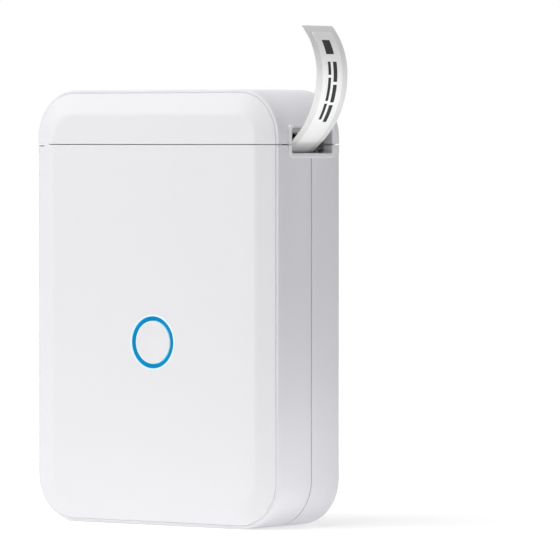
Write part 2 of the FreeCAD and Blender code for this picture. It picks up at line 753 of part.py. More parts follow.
def light_ring():
    ring_front = panel_flat - RING_PROUD
    ring = rod(0, button_z, RING_RADIUS, ring_front, ring_back)
    flange = rod(0, button_z, RING_RADIUS + RING_FLANGE, inner_front, ring_back)
    ring = join(ring, flange).cut(rod(0, button_z, ring_inner, ring_front, ring_back))
    return bevel_at(ring, "Y", ring_front, BUTTON_EDGE)


def power_button():
    cap = rod(0, button_z, ring_inner - BUTTON_GAP, panel_flat, panel_flat + BUTTON_THICKNESS)
    cap = bevel_at(cap, "Y", panel_flat, BUTTON_EDGE)
    stem = rod(0, button_z, STEM_RADIUS, panel_flat + BUTTON_THICKNESS, plunger_front - STEM_GAP)
    lug_front = ring_back + LUG_GAP
    lug = box(-ring_inner - LUG_REACH, ring_inner + LUG_REACH, lug_front, lug_front + LUG_THICKNESS,
              button_z - LUG_WIDTH / 2, button_z + LUG_WIDTH / 2)
    return join(cap, stem, lug)


def switch_plunger():
    return rod(0, button_z, PLUNGER_RADIUS, plunger_front, switch_front + PLUNGER_DEPTH)


def tact_switch():
    half = SWITCH_SIZE / 2
    block = box(-half, half, switch_front, board_front, button_z - half, button_z + half)
    well_end = switch_front + PLUNGER_DEPTH + BUTTON_TRAVEL + RUNNING_CLEARANCE
    return block.cut(rod(0, button_z, PLUNGER_RADIUS + RUNNING_CLEARANCE, switch_front, well_end))


def ring_leds():
    reach = RING_RADIUS - RING_STROKE / 2
    lamps = []
    for lamp in range(RING_LEDS):
        turn = math.radians(FIRST_LED + 360 * lamp / RING_LEDS)
        x = reach * math.cos(turn)
        z = button_z + reach * math.sin(turn)
        lamps.append(box(x - LED_SIZE / 2, x + LED_SIZE / 2, board_front - LED_HEIGHT, board_front,
                         z - LED_SIZE / 2, z + LED_SIZE / 2))
    return Part.makeCompound(lamps)


def outlet_bezel():
    """Whole bezel ring with the flange that holds it behind the wall."""
    face_x = half_width + BEZEL_PROUD
    flange_x = inner_half - BEZEL_FLANGE_THICKNESS
    flange = outlet_block(BEZEL_FLANGE, flange_x, inner_half)
    flange = flange.common(case_prism(WALL + BEZEL_CLEARANCE, inner_front, inner_back - BEZEL_CLEARANCE))
    frame = join(outlet_block(0, flange_x, face_x), flange)
    wire = rounded_rectangle(outlet_front, outlet_back, outlet_low, outlet_high, OUTLET_CORNER,
                             lambda a, b: Vector(flange_x, a, b))
    frame = frame.cut(Part.Face(wire).extrude(Vector(face_x - flange_x, 0, 0)))
    return round_at(frame, "X", face_x, BEZEL_ROUND)


def outlet_bezel_lower():
    return outlet_bezel().common(box(-REACH, REACH, -REACH, REACH, -REACH, seam_low))


def outlet_bezel_upper():
    return outlet_bezel().common(box(-REACH, REACH, -REACH, REACH, seam_high, REACH))


def tear_bar():
    """Strip bent to an angle: a seat under the upper bezel and a leg with teeth along its lower edge."""
    y0 = outlet_front + OUTLET_CORNER + TEAR_END_GAP
    y1 = outlet_back - OUTLET_CORNER - TEAR_END_GAP
    tip_x = half_width - TEAR_BACKSET
    tip_z = outlet_high - TEAR_LEG
    root_z = tip_z + TEAR_TOOTH
    teeth = max(1, round((y1 - y0) / TEAR_PITCH))
    pitch = (y1 - y0) / teeth
    corners = [Vector(tip_x, y0, outlet_high)]
    for tooth in range(teeth):
        corners.append(Vector(tip_x, y0 + tooth * pitch, root_z))
        corners.append(Vector(tip_x, y0 + (tooth + 0.5) * pitch, tip_z))
    corners += [Vector(tip_x, y1, root_z), Vector(tip_x, y1, outlet_high)]
    leg = Part.Face(Part.makePolygon(corners + corners[:1])).extrude(Vector(-TEAR_THICKNESS, 0, 0))
    return join(box(tip_x - TEAR_SEAT, tip_x, y0, y1, outlet_high - TEAR_THICKNESS, outlet_high), leg)


def hinge_pin():
    end = HINGE_EAR_FROM + HINGE_EAR_WIDTH
    return rod(hinge_x, hinge_z, HINGE_PIN_RADIUS, -end, end)


def plate_outline(y0, y1):
    """Chassis side plate: round under the roll, low at the right where the lid's arms come down."""
    left = roll_x - floor_radius
    turns = [math.radians(turn) for turn in (180, (180 + PLATE_ARC_END) / 2, PLATE_ARC_END)]
    arc = [Vector(roll_x + floor_radius * math.cos(turn), y0, roll_z + floor_radius * math.sin(turn))
           for turn in turns]
    shoulder_z = pivot_z + SHOULDER_RISE
    shoulder_x = pivot_x - SHOULDER_BACK
    corners = [arc[2], Vector(motor_x - RAMP_TAB_BACK, y0, plate_low), Vector(plate_right, y0, plate_low),
               Vector(plate_right, y0, shoulder_z), Vector(shoulder_x, y0, shoulder_z),
               Vector(shoulder_x - SHOULDER_RUN, y0, plate_top), Vector(left, y0, plate_top), arc[0]]
    edges = [Part.Arc(*arc).toShape()]
    edges += [Part.LineSegment(a, b).toShape() for a, b in zip(corners, corners[1:])]
    return Part.Face(Part.Wire(edges)).extrude(Vector(0, y1 - y0, 0))


def spindle_slot(y0, y1):
    """Open slot that the roll's spindle drops into, flared at the top."""
    half = JOURNAL_RADIUS + JOURNAL_CLEARANCE
    seat = rod(roll_x, roll_z, half, y0, y1)
    way = box(roll_x - half, roll_x + half, y0, y1, roll_z, plate_top)
    flare = slab([(roll_x - half - SLOT_FLARE, plate_top), (roll_x - half, plate_top - SLOT_FLARE),
                  (roll_x + half, plate_top - SLOT_FLARE), (roll_x + half + SLOT_FLARE, plate_top)], y0, y1)
    return join(seat, way, flare)


def chassis():
    front = plate_outline(plate_front, bay_front)
    rear = plate_outline(bay_back, plate_back)
    lug_angle = tab_angle + math.pi / 2
    side = (TAB_RADIUS * math.cos(lug_angle), TAB_RADIUS * math.sin(lug_angle))
    root = (roll_x + (floor_radius - TAB_REACH) * math.cos(tab_angle),
            roll_z + (floor_radius - TAB_REACH) * math.sin(tab_angle))
    lug = slab([(lug_tab[0] + side[0], lug_tab[1] + side[1]), (lug_tab[0] - side[0], lug_tab[1] - side[1]),
                (root[0] - side[0], root[1] - side[1]), (root[0] + side[0], root[1] + side[1])],
               bay_back, plate_back)
    rear = join(rear, lug, rod(*lug_tab, TAB_RADIUS, bay_back, plate_back))
    middle = bay_radius + FLOOR / 2
    runs = [(plate_top - roll_z, 0), (middle * (math.pi / 2 + slope), middle), (tape_run - RAMP_END, 0)]
    floor = ribbon(path_of(roll_x - middle, plate_top, -math.pi / 2, runs),
                   -FLOOR / 2, FLOOR / 2, bay_front, bay_back)
    tie_bar = nip_block(*TIE_BAR, bay_front, bay_back)
    body = join(front, rear, floor, tie_bar)
    holes = [spindle_slot(plate_front, bay_front), spindle_slot(bay_back, plate_back)]
    holes.append(rod(pivot_x, pivot_z, PIVOT_RADIUS + FIT, plate_front, plate_back))
    holes.append(rod(motor_x, motor_z, MOTOR_BOSS_RADIUS + RUNNING_CLEARANCE, bay_back, plate_back))
    holes.append(rod(idler_x, idler_z, STUD_RADIUS + FIT, bay_back, plate_back))
    holes += [rod(x, z, MOTOR_SCREW[2] + FIT, bay_back, plate_back) for x, z in motor_ears]
    holes += [rod(x, z, SMALL_SCREW[2] + SCREW_CLEARANCE, bay_back, plate_back) for x, z in chassis_tabs]
    behind = motor_ears + [corner_tab, ramp_tab]
    holes += [rod(x, z, ACCESS_RADIUS, plate_front, bay_front) for x, z in behind]
    window = nip_block(SENSOR[0] - SENSOR_GAP, SENSOR[1] + SENSOR_GAP, *ramp_faces(),
                       *sensor_sides(SENSOR_GAP))
    return body.cut(Part.makeCompound(holes)).cut(window)


def ramp_faces():
    """Lower and upper face of the ramp, square to the tape."""
    top = tape_radius - bay_radius
    return (top - FLOOR, top)


def sensor_sides(grow):
    middle = (tape_front + tape_back) / 2
    return (middle - SENSOR_WIDTH / 2 - grow, middle + SENSOR_WIDTH / 2 + grow)


def gap_sensor():
    return nip_block(*SENSOR, *ramp_faces(), *sensor_sides(0))


def chassis_screws():
    return Part.makeCompound([screw(SMALL_SCREW, x, z, bay_back, 1) for x, z in chassis_tabs])


def housing_screws():
    seat = split_y + HOUSING_SCREW_SEAT
    return Part.makeCompound([screw(HOUSING_SCREW, x, z, seat, -1) for x, z in housing_bosses])


def tape_path():
    """Middle of the liner, from its wrap round the roll to its free end."""
    wrap = math.radians(TAPE_WRAP)
    turned = slope - math.pi / 2 - wrap
    start = (roll_x + tape_radius * math.cos(turned), roll_z + tape_radius * math.sin(turned))
    runs = [(tape_radius * wrap, tape_radius), (tape_run + NIP_TO_EXIT, 0)]
    runs += [(radius * math.radians(turn), radius) for radius, turn in zip(CURL_RADII, CURL_TURNS)]
    return path_of(*start, slope - wrap, runs)


def label_strip():
    return ribbon(tape_path(), -LINER / 2, LINER / 2, tape_front, tape_back)


def labels():
    path = tape_path()
    end = sum(stretch[3] for stretch in path) - LABEL_MARGIN
    middle = (tape_front + tape_back) / 2
    stuck = []
    while end - LABEL_LENGTH > 0:
        piece = part_of(path, end - LABEL_LENGTH, end)
        label = ribbon(piece, -LINER / 2 - LABEL, -LINER / 2,
                       middle - LABEL_WIDTH / 2, middle + LABEL_WIDTH / 2)
        corners = [edge for edge in label.Edges if abs(edge.Length - LABEL) < CLOSE]
        stuck.append(label.makeFillet(LABEL_CORNER, corners))
        end -= LABEL_PITCH
    return Part.makeCompound(stuck)


def label_roll():
    roll = rod(roll_x, roll_z, ROLL_RADIUS, tape_front, tape_back)
    return roll.cut(rod(roll_x, roll_z, CORE_RADIUS, tape_front, tape_back))


def roll_core():
    """Moulded core: a rim and a hub joined by spokes and a thin web."""
    middle = (tape_front + tape_back) / 2
    hub_bore = SPINDLE_RADIUS + SPINDLE_CLEARANCE
    hub = hub_bore + HUB_WALL
    rim_inner = CORE_RADIUS - FIT - CORE_RIM
    rim = rod(roll_x, roll_z, CORE_RADIUS - FIT, tape_front, tape_back)
    rim = rim.cut(rod(roll_x, roll_z, rim_inner, tape_front, tape_back))
    web = rod(roll_x, roll_z, rim_inner + CORE_RIM / 2, middle - CORE_WEB / 2, middle + CORE_WEB / 2)
    spokes = []
    for spoke in range(SPOKES):
        bar = box(roll_x, roll_x + rim_inner + CORE_RIM / 2, tape_front + CORE_WEB, tape_back - CORE_WEB,
                  roll_z - SPOKE_WIDTH / 2, roll_z + SPOKE_WIDTH / 2)
        bar.rotate(Vector(roll_x, 0, roll_z), Vector(0, 1, 0), 360 * spoke / SPOKES)
        spokes.append(bar)
    core = join(rim, web, rod(roll_x, roll_z, hub, tape_front, tape_back), *spokes)
    return core.cut(rod(roll_x, roll_z, hub_bore, tape_front, tape_back))


def roll_spindle():
    bar = rod(roll_x, roll_z, SPINDLE_RADIUS, bay_front + SHOULDER_GAP, bay_back - SHOULDER_GAP)
    journals = rod(roll_x, roll_z, JOURNAL_RADIUS, plate_front - JOURNAL_PROUD, plate_back + JOURNAL_PROUD)
    return join(bar, journals)


def lid_frame():
    """Two arms for the platen's bushes, joined by a web under the lid's ceiling."""
    top = ceiling - FRAME_DROP
    left = platen_x - FRAME_BEHIND
    right = platen_x + FRAME_AHEAD
    pieces = [box(left, right, plate_front, plate_back, top - FRAME_WEB, top)]
    for y0, y1 in ((plate_front, bay_front), (bay_back, plate_back)):
        pieces.append(slab([(left, top), (platen_x - ARM_RADIUS, platen_z),
                            (platen_x + ARM_RADIUS, platen_z), (right, top)], y0, y1))
        pieces.append(rod(platen_x, platen_z, ARM_RADIUS, y0, y1))
    bores = [rod(platen_x, platen_z, BUSH_RADIUS + FIT, plate_front, plate_back)]
    bores += [post(x, y, SMALL_SCREW[2] + SCREW_CLEARANCE, top - FRAME_WEB, top) for x, y in lid_bosses()]
    return join(*pieces).cut(Part.makeCompound(bores))


def lid_frame_screws():
    seat = ceiling - FRAME_DROP - FRAME_WEB
    head_radius, head_height, shank_radius, shank_length = SMALL_SCREW
    screws = []
    for x, y in lid_bosses():
        head = post(x, y, head_radius, seat - head_height, seat)
        shank = post(x, y, shank_radius, seat, seat + shank_length)
        recess = post(x, y, shank_radius * DRIVE_SHARE, seat - head_height, seat - head_height / 2)
        screws.append(join(head, shank).cut(recess))
    return Part.makeCompound(screws)


def platen_bushes():
    bushes = []
    sides = ((plate_front, bay_front, bay_front), (bay_back, plate_back, bay_back - BUSH_FLANGE))
    for y0, y1, flange_y in sides:
        sleeve = rod(platen_x, platen_z, BUSH_RADIUS, y0, y1)
        flange = rod(platen_x, platen_z, BUSH_FLANGE_RADIUS, flange_y, flange_y + BUSH_FLANGE)
        bore = rod(platen_x, platen_z, PLATEN_SHAFT_RADIUS + RUNNING_CLEARANCE, plate_front, plate_back)
        bushes.append(join(sleeve, flange).cut(bore))
    return Part.makeCompound(bushes)


def platen_roller():
    y0 = tape_front - PLATEN_OVERHANG
    y1 = tape_back + PLATEN_OVERHANG
    roller = rod(platen_x, platen_z, PLATEN_RADIUS, y0, y1)
    return roller.cut(rod(platen_x, platen_z, PLATEN_SHAFT_RADIUS + FIT, y0, y1))


def platen_shaft():
    return rod(platen_x, platen_z, PLATEN_SHAFT_RADIUS, plate_front - SHOULDER_GAP, gear_end + STUD_END_GAP)


def platen_gear():
    wheel = gear(PLATEN_TEETH, platen_x, platen_z, 0, gear_high, gear_end)
    return wheel.cut(rod(platen_x, platen_z, PLATEN_SHAFT_RADIUS + FIT, gear_high, gear_end))


def idler_gear():
    """Large step driven by the motor, small step that drives the platen gear."""
    first = meshing_tooth(math.radians(IDLER_BEARING), PLATEN_TEETH, 0, IDLER_SMALL_TEETH)
    small = gear(IDLER_SMALL_TEETH, idler_x, idler_z, first, gear_middle, gear_end)
    large = gear(IDLER_LARGE_TEETH, idler_x, idler_z, 0, gear_low, gear_middle)
    bore = rod(idler_x, idler_z, STUD_RADIUS + RUNNING_CLEARANCE, gear_low, gear_end)
    return join(small, large).cut(bore)


def idler_stud():
    head_y = gear_end + STUD_END_GAP
    pin = rod(idler_x, idler_z, STUD_RADIUS, bay_back, head_y + STUD_HEAD)
    return join(pin, rod(idler_x, idler_z, STUD_HEAD_RADIUS, head_y, head_y + STUD_HEAD))


def stepper_motor():
    flange_y = bay_back - MOTOR_FLANGE
    can = rod(motor_x, motor_z, MOTOR_RADIUS, flange_y - MOTOR_LENGTH, flange_y)
    can = bevel_at(can, "Y", flange_y - MOTOR_LENGTH, MOTOR_EDGE)
    ears = [rod(x, z, MOTOR_EAR_RADIUS, flange_y, bay_back) for x, z in motor_ears]
    side = (-MOTOR_EAR_RADIUS * math.sin(ear_angle), MOTOR_EAR_RADIUS * math.cos(ear_angle))
    (x0, z0), (x1, z1) = motor_ears
    strap = slab([(x0 + side[0], z0 + side[1]), (x0 - side[0], z0 - side[1]),
                  (x1 - side[0], z1 - side[1]), (x1 + side[0], z1 + side[1])], flange_y, bay_back)
    disc = rod(motor_x, motor_z, MOTOR_RADIUS, flange_y, bay_back)
    boss = rod(motor_x, motor_z, MOTOR_BOSS_RADIUS, bay_back, plate_back)
    body = join(can, disc, strap, boss, *ears)
    bore = rod(motor_x, motor_z, MOTOR_SHAFT_RADIUS + SCREW_CLEARANCE,
               flange_y - MOTOR_LENGTH + MOTOR_BACK_WALL, plate_back)
    holes = [rod(x, z, MOTOR_SCREW[2] + RUNNING_CLEARANCE, flange_y, bay_back) for x, z in motor_ears]
    return body.cut(Part.makeCompound(holes + [bore]))


def motor_screws():
    seat = bay_back - MOTOR_FLANGE
    return Part.makeCompound([screw(MOTOR_SCREW, x, z, seat, 1) for x, z in motor_ears])


def motor_shaft():
    start = bay_back - MOTOR_FLANGE - MOTOR_LENGTH + MOTOR_BACK_WALL + SHOULDER_GAP
    return rod(motor_x, motor_z, MOTOR_SHAFT_RADIUS, start, gear_middle + STUD_END_GAP)


def motor_pinion():
    first = meshing_tooth(math.radians(MOTOR_BEARING), IDLER_LARGE_TEETH, 0, PINION_TEETH)
    wheel = gear(PINION_TEETH, motor_x, motor_z, first, gear_low, gear_middle)
    return wheel.cut(rod(motor_x, motor_z, MOTOR_SHAFT_RADIUS + FIT, gear_low, gear_middle))


def print_head():
    """Ceramic plate with the low rounded ridge of its heater line."""
    y0 = tape_front - HEAD_FRONT_MARGIN
    y1 = tape_back + HEAD_REAR_MARGIN
    s0, s1, low, high = HEAD_CERAMIC
    plate = nip_block(s0, s1, low, high, y0, y1)
    ridge_x, ridge_z = nip(0, high + HEAD_RIDGE_RISE - HEAD_RIDGE_RADIUS)
    return join(plate, rod(ridge_x, ridge_z, HEAD_RIDGE_RADIUS, y0, y1))


def heat_sink():
    """Block under the ceramic, grooved along the tape's width on its lower face."""
    y0 = tape_front - HEAD_FRONT_MARGIN
    y1 = tape_back + HEAD_REAR_MARGIN
    s0, s1, low = HEAT_SINK
    block = nip_block(s0, s1, low, HEAD_CERAMIC[2], y0, y1)
    bracket_end = BRACKET[1]
    groove_depth = (HEAD_CERAMIC[2] - low) / 2
    groove = nip_block(bracket_end, s1 - HEAT_SINK_FIN / 2, low, low + groove_depth, y0, y1)
    relief = nip_block(s0 + HEAT_SINK_FIN, s0 + 2 * HEAT_SINK_FIN, HEAD_CERAMIC[2] - groove_depth,
                       HEAD_CERAMIC[2], y0, y1)
    return block.cut(groove).cut(relief)


def bracket_ears():
    """Front and back Y places of the head bracket's two ears."""
    thickness = BRACKET[2]
    front = tape_front - HEAD_FRONT_MARGIN - BRACKET_FRONT_GAP - thickness
    back = tape_back + HEAD_REAR_MARGIN + BRACKET_REAR_GAP
    return [(front, front + thickness), (back, back + thickness)]


def head_bracket():
    s0, s1, thickness = BRACKET
    low = HEAT_SINK[2] - thickness
    ears = bracket_ears()
    pieces = [nip_block(s0, s1, low, HEAT_SINK[2], ears[0][0], ears[1][1])]
    for y0, y1 in ears:
        pieces.append(nip_block(s0, PIVOT[0] + 2 * PIVOT_EAR_RADIUS, low, PIVOT[1], y0, y1))
        pieces.append(rod(pivot_x, pivot_z, PIVOT_EAR_RADIUS, y0, y1))
    bore = rod(pivot_x, pivot_z, PIVOT_RADIUS + RUNNING_CLEARANCE, plate_front, plate_back)
    return join(*pieces).cut(bore)


def head_pivot_pin():
    return rod(pivot_x, pivot_z, PIVOT_RADIUS, plate_front, plate_back)


def head_spring():
    """Leaf folded into a U between the tie bar and the head bracket."""
    high = HEAT_SINK[2] - BRACKET[2] - SPRING_GAP - SPRING_THICKNESS / 2
    low = TIE_BAR[3] + SPRING_GAP + SPRING_THICKNESS / 2
    bend = (high - low) / 2
    start = nip(TIE_BAR[1] - SPRING_GAP, high)
    path = path_of(*start, slope + math.pi, [(SPRING_LEAF, 0), (math.pi * bend, bend), (SPRING_LEAF, 0)])
    middle = (tape_front + tape_back) / 2
    return ribbon(path, -SPRING_THICKNESS / 2, SPRING_THICKNESS / 2,
                  middle - SPRING_WIDTH / 2, middle + SPRING_WIDTH / 2)


def main_board():
    half = BOARD_WIDTH / 2
    sheet = box(-half, half, board_front, board_back, BOARD_BASE, board_top)
    tongue = box(TONGUE_ROOM - inner_half, 0, board_front, board_back,
                 PORT_HEIGHT - TONGUE_WIDTH / 2, PORT_HEIGHT + TONGUE_WIDTH / 2)
    holes = [rod(x, z, SMALL_SCREW[2] + SCREW_CLEARANCE, board_front, board_back) for x, z in board_holes]
    return join(sheet, tongue).cut(Part.makeCompound(holes))


def board_screws():
    return Part.makeCompound([screw(SMALL_SCREW, x, z, board_back, -1) for x, z in board_holes])


def on_board(place, sizes, base=0):
    """Block on the board's back face, its middle at a place below the board's top."""
    x, below_top = place
    width, height, thickness = sizes
    z = board_top - below_top
    foot = board_back + base
    return box(x - width / 2, x + width / 2, foot, foot + thickness, z - height / 2, z + height / 2)


def radio_module():
    """Small board under a shield can, its bare antenna end upwards."""
    carrier = on_board(MODULE_PLACE, MODULE_CARRIER)
    x, below_top = MODULE_PLACE
    can = on_board((x, below_top + MODULE_CAN_DROP), MODULE_CAN, MODULE_CARRIER[2])
    can = round_at(can, "Y", board_back + MODULE_CARRIER[2] + MODULE_CAN[2], MODULE_CAN_ROUND)
    return join(carrier, can)


def board_chips():
    return Part.makeCompound([on_board(place, sizes) for place, sizes in CHIPS])


def board_connectors():
    """Two headers whose sockets open upwards."""
    width, height, thickness = PLUG
    pocket = (width - 2 * PLUG_WALL, height / 2, thickness - 2 * PLUG_WALL)
    headers = []
    for x, below_top in (MOTOR_PLUG, BATTERY_PLUG):
        shell = on_board((x, below_top), PLUG)
        headers.append(shell.cut(on_board((x, below_top - height / 4), pocket, PLUG_WALL)))
    return Part.makeCompound(headers)


def usb_socket():
    """Rounded metal shell, open at the left wall, with its contact tongue."""
    mouth_x = PORT_SETBACK - half_width
    y_middle = board_back + PORT_THICKNESS / 2

    def bar(grow, x0, x1):
        half_y = PORT_THICKNESS / 2 + grow
        half_z = PORT_WIDTH / 2 + grow
        wire = rounded_rectangle(y_middle - half_y, y_middle + half_y, PORT_HEIGHT - half_z,
                                 PORT_HEIGHT + half_z, half_y - FIT, lambda a, b: Vector(x0, a, b))
        return Part.Face(wire).extrude(Vector(x1 - x0, 0, 0))

    shell = bar(0, mouth_x, mouth_x + PORT_LENGTH).cut(bar(-PORT_SKIN, mouth_x, mouth_x + PORT_DEPTH))
    half = (PORT_WIDTH - PORT_THICKNESS) / 2
    tongue = box(mouth_x + PORT_TONGUE_BACK, mouth_x + PORT_LENGTH - PORT_SKIN, y_middle - PORT_TONGUE / 2,
                 y_middle + PORT_TONGUE / 2, PORT_HEIGHT - half, PORT_HEIGHT + half)
    return join(shell, tongue)


def battery():
    half = BATTERY_WIDTH / 2
    cell = box(-half, half, battery_front, battery_back, BATTERY_BASE, BATTERY_BASE + BATTERY_HEIGHT)
    long_edges = [edge for edge in cell.Edges if abs(edge.BoundBox.ZLength - BATTERY_HEIGHT) < CLOSE]
    cell = cell.makeFillet(BATTERY_ROUND, long_edges)
    middle = (battery_front + battery_back) / 2
    top = BATTERY_BASE + BATTERY_HEIGHT
    strip = box(TERMINAL_INSET - half, half - TERMINAL_INSET, middle - TERMINAL_THICKNESS / 2,
                middle + TERMINAL_THICKNESS / 2, top, top + TERMINAL_HEIGHT)
    return join(cell, strip)


def battery_pad():
    half = BATTERY_WIDTH / 2 - PAD_INSET
    return box(-half, half, battery_back, inner_back, BATTERY_BASE + PAD_INSET,
               BATTERY_BASE + BATTERY_HEIGHT - PAD_INSET)


def plug_end(place):
    """Point on the floor of a header's socket, where its lead ends."""
    x, below_top = place
    return (x, board_back + PLUG[2] / 2, board_top - below_top)


def motor_lead():
    """Sheathed lead from under the motor to its header."""
    end = plug_end(MOTOR_PLUG)
    y_start = bay_back - MOTOR_FLANGE - MOTOR_LENGTH + MOTOR_LEAD_BACK
    start = (motor_x, y_start, motor_z - MOTOR_RADIUS)
    below = (motor_x, y_start, start[2] - MOTOR_LEAD_DROP)
    above = (end[0], end[1], end[2] + LEAD_ABOVE_PLUG)
    return lead([start, below, above, end], SHEATH_RADIUS)


def battery_lead():
    """Loose wires side by side from the battery's terminals to their header."""
    end = plug_end(BATTERY_PLUG)
    y_start = (battery_front + battery_back) / 2
    terminal_top = BATTERY_BASE + BATTERY_HEIGHT + TERMINAL_HEIGHT
    start = (BATTERY_WIDTH / 2 - BATTERY_LEAD_INSET, y_start, terminal_top)
    rise = (start[0], y_start, start[2] + BATTERY_LEAD_RISE)
    above = (end[0], end[1], end[2] + LEAD_ABOVE_PLUG)
    made = []
    for wire in range(BATTERY_WIRES):
        shift = (wire - (BATTERY_WIRES - 1) / 2) * WIRE_PITCH
        route = [(x + shift, y, z) for x, y, z in (start, rise, above, end)]
        made.append(lead(route, WIRE_RADIUS))
    return Part.makeCompound(made)


SUB_PARTS = (front_housing, rear_housing, front_panel, light_ring, outlet_bezel_lower, chassis,
             chassis_screws, housing_screws, main_board, board_screws, tact_switch, ring_leds,
             radio_module, board_chips, board_connectors, usb_socket, battery, battery_pad,
             battery_lead, stepper_motor, motor_screws, motor_lead, idler_stud, head_pivot_pin,
             head_spring, gap_sensor, hinge_pin, label_strip, labels, lid_shell, lid_front_panel,
             outlet_bezel_upper, lid_frame, lid_frame_screws, platen_bushes, tear_bar, platen_shaft,
             platen_roller, platen_gear, idler_gear, motor_shaft, motor_pinion, print_head,
             heat_sink, head_bracket, roll_core, label_roll, roll_spindle, power_button,
             switch_plunger)

os.makedirs("parts", exist_ok=True)
for sub_part in SUB_PARTS:
    sub_part().exportStep("parts/" + sub_part.__name__ + ".step")
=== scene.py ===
# %% [markdown]
# # Dressing a pocket label printer
#
# The construction model already holds every piece at its true size. This lesson gives those pieces
# their looks: satin white mouldings, a lit ring, a curl of printed labels and the black, steel and
# paper parts under the lid. Shapes that the eye meets first are modelled again by hand with finer
# edges. The rest keep their construction mesh, merged and smoothed, under a finish of their own.

# %% The frame
import json
import math
import bmesh
import bpy
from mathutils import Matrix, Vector

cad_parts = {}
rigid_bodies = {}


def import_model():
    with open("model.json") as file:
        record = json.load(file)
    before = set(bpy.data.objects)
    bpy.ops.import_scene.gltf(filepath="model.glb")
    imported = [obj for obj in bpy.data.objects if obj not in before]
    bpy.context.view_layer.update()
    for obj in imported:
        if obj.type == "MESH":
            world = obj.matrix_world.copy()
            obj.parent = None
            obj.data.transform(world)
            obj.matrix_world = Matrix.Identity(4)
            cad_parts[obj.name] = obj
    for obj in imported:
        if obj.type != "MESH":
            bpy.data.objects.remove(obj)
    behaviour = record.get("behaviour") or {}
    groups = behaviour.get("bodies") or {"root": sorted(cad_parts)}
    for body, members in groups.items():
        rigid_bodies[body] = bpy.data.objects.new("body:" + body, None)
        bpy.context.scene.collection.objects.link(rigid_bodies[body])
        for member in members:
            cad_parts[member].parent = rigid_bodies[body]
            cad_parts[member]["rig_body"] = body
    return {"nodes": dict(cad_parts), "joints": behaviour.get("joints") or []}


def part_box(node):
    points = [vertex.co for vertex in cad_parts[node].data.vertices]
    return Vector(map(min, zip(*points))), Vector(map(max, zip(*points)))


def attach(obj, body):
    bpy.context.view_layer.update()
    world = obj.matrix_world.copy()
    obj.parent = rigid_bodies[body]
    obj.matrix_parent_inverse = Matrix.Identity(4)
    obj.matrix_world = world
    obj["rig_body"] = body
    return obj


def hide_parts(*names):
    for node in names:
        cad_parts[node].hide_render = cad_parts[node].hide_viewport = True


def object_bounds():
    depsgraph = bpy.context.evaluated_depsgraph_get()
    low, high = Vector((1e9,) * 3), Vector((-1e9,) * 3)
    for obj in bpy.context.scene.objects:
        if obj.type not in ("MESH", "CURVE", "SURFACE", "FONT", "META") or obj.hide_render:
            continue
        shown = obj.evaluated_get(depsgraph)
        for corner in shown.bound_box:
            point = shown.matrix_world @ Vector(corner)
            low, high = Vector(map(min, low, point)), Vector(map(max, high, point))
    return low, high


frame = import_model()
cad_low, cad_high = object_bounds()
nodes = frame["nodes"]
joints = {joint["name"]: joint for joint in frame["joints"]}
MM = 0.001


def in_mm(lengths):
    """Lengths in millimetres, for printing."""
    return [round(length / MM, 2) for length in lengths]


print("construction model:", len(nodes), "nodes,", in_mm(cad_high - cad_low), "mm")

# %% [markdown]
# ## Finishes
#
# A finish is a Principled shader fed by small texture groups. Each group makes one effect, such as
# the spark grain of a mould or the fibre of paper, from Object coordinates, so the pattern stays at
# its real scale on every piece. Values that are the same all over are set on the shader itself.

# %% Node helpers


def add(tree, kind, inputs=None, **settings):
    """Add a node, set its options, and set or link its inputs by name."""
    node = tree.nodes.new(kind)
    for setting, value in settings.items():
        setattr(node, setting, value)
    for label, value in (inputs or {}).items():
        if isinstance(value, bpy.types.NodeSocket):
            tree.links.new(value, node.inputs[label])
        else:
            node.inputs[label].default_value = value
    return node


def math_node(tree, operation, *values):
    """The result of one sum, product or comparison."""
    return add(tree, "ShaderNodeMath", dict(enumerate(values)), operation=operation).outputs[0]


def new_group(name, inputs, outputs):
    """An empty shader node group with named sockets; returns it with its inner ends."""
    group = bpy.data.node_groups.new(name, "ShaderNodeTree")
    for label, value in inputs.items():
        kind = "NodeSocketVector" if isinstance(value, tuple) else "NodeSocketFloat"
        group.interface.new_socket(label, in_out="INPUT", socket_type=kind).default_value = value
    for label in outputs:
        group.interface.new_socket(label, in_out="OUTPUT", socket_type="NodeSocketFloat")
    return group, group.nodes.new("NodeGroupInput").outputs, group.nodes.new("NodeGroupOutput").inputs


print("node helpers ready:", add.__name__, math_node.__name__, new_group.__name__)

# %% [markdown]
# A steel mould is spark-eroded, so a satin moulding has a fine pebbled skin and, over its whole
# face, very slight changes of shade where the melt flowed. An image of real grain would need a map
# on every piece, so one noise makes each effect instead, and their mean is the change of gloss.

# %% Mould grain group
grain_group, grain_in, grain_out = new_group(
    "mould_grain", {"Fineness": 2500.0, "Flow": 30.0}, ("Height", "Shade", "Gloss"))
here = add(grain_group, "ShaderNodeTexCoord").outputs["Object"]
pebble = add(grain_group, "ShaderNodeTexNoise",
             {"Vector": here, "Scale": grain_in["Fineness"], "Detail": 2.0, "Roughness": 0.6}).outputs[0]
flow = add(grain_group, "ShaderNodeTexNoise",
           {"Vector": here, "Scale": grain_in["Flow"], "Detail": 3.0}).outputs[0]
half_pebble = math_node(grain_group, "MULTIPLY", pebble, 0.5)
half_flow = math_node(grain_group, "MULTIPLY", flow, 0.5)
grain_group.links.new(pebble, grain_out["Height"])
grain_group.links.new(flow, grain_out["Shade"])
grain_group.links.new(math_node(grain_group, "ADD", half_pebble, half_flow), grain_out["Gloss"])
print("mould_grain:", len(grain_group.nodes), "nodes")

# %% [markdown]
# Turned, ground or brushed metal is covered in fine lines that all run one way. A wave texture would
# repeat too neatly, so noise is stretched along one axis: the Stretch input says how much it is
# squeezed along X, Y and Z. A second, broad noise stands for where the part has been handled.

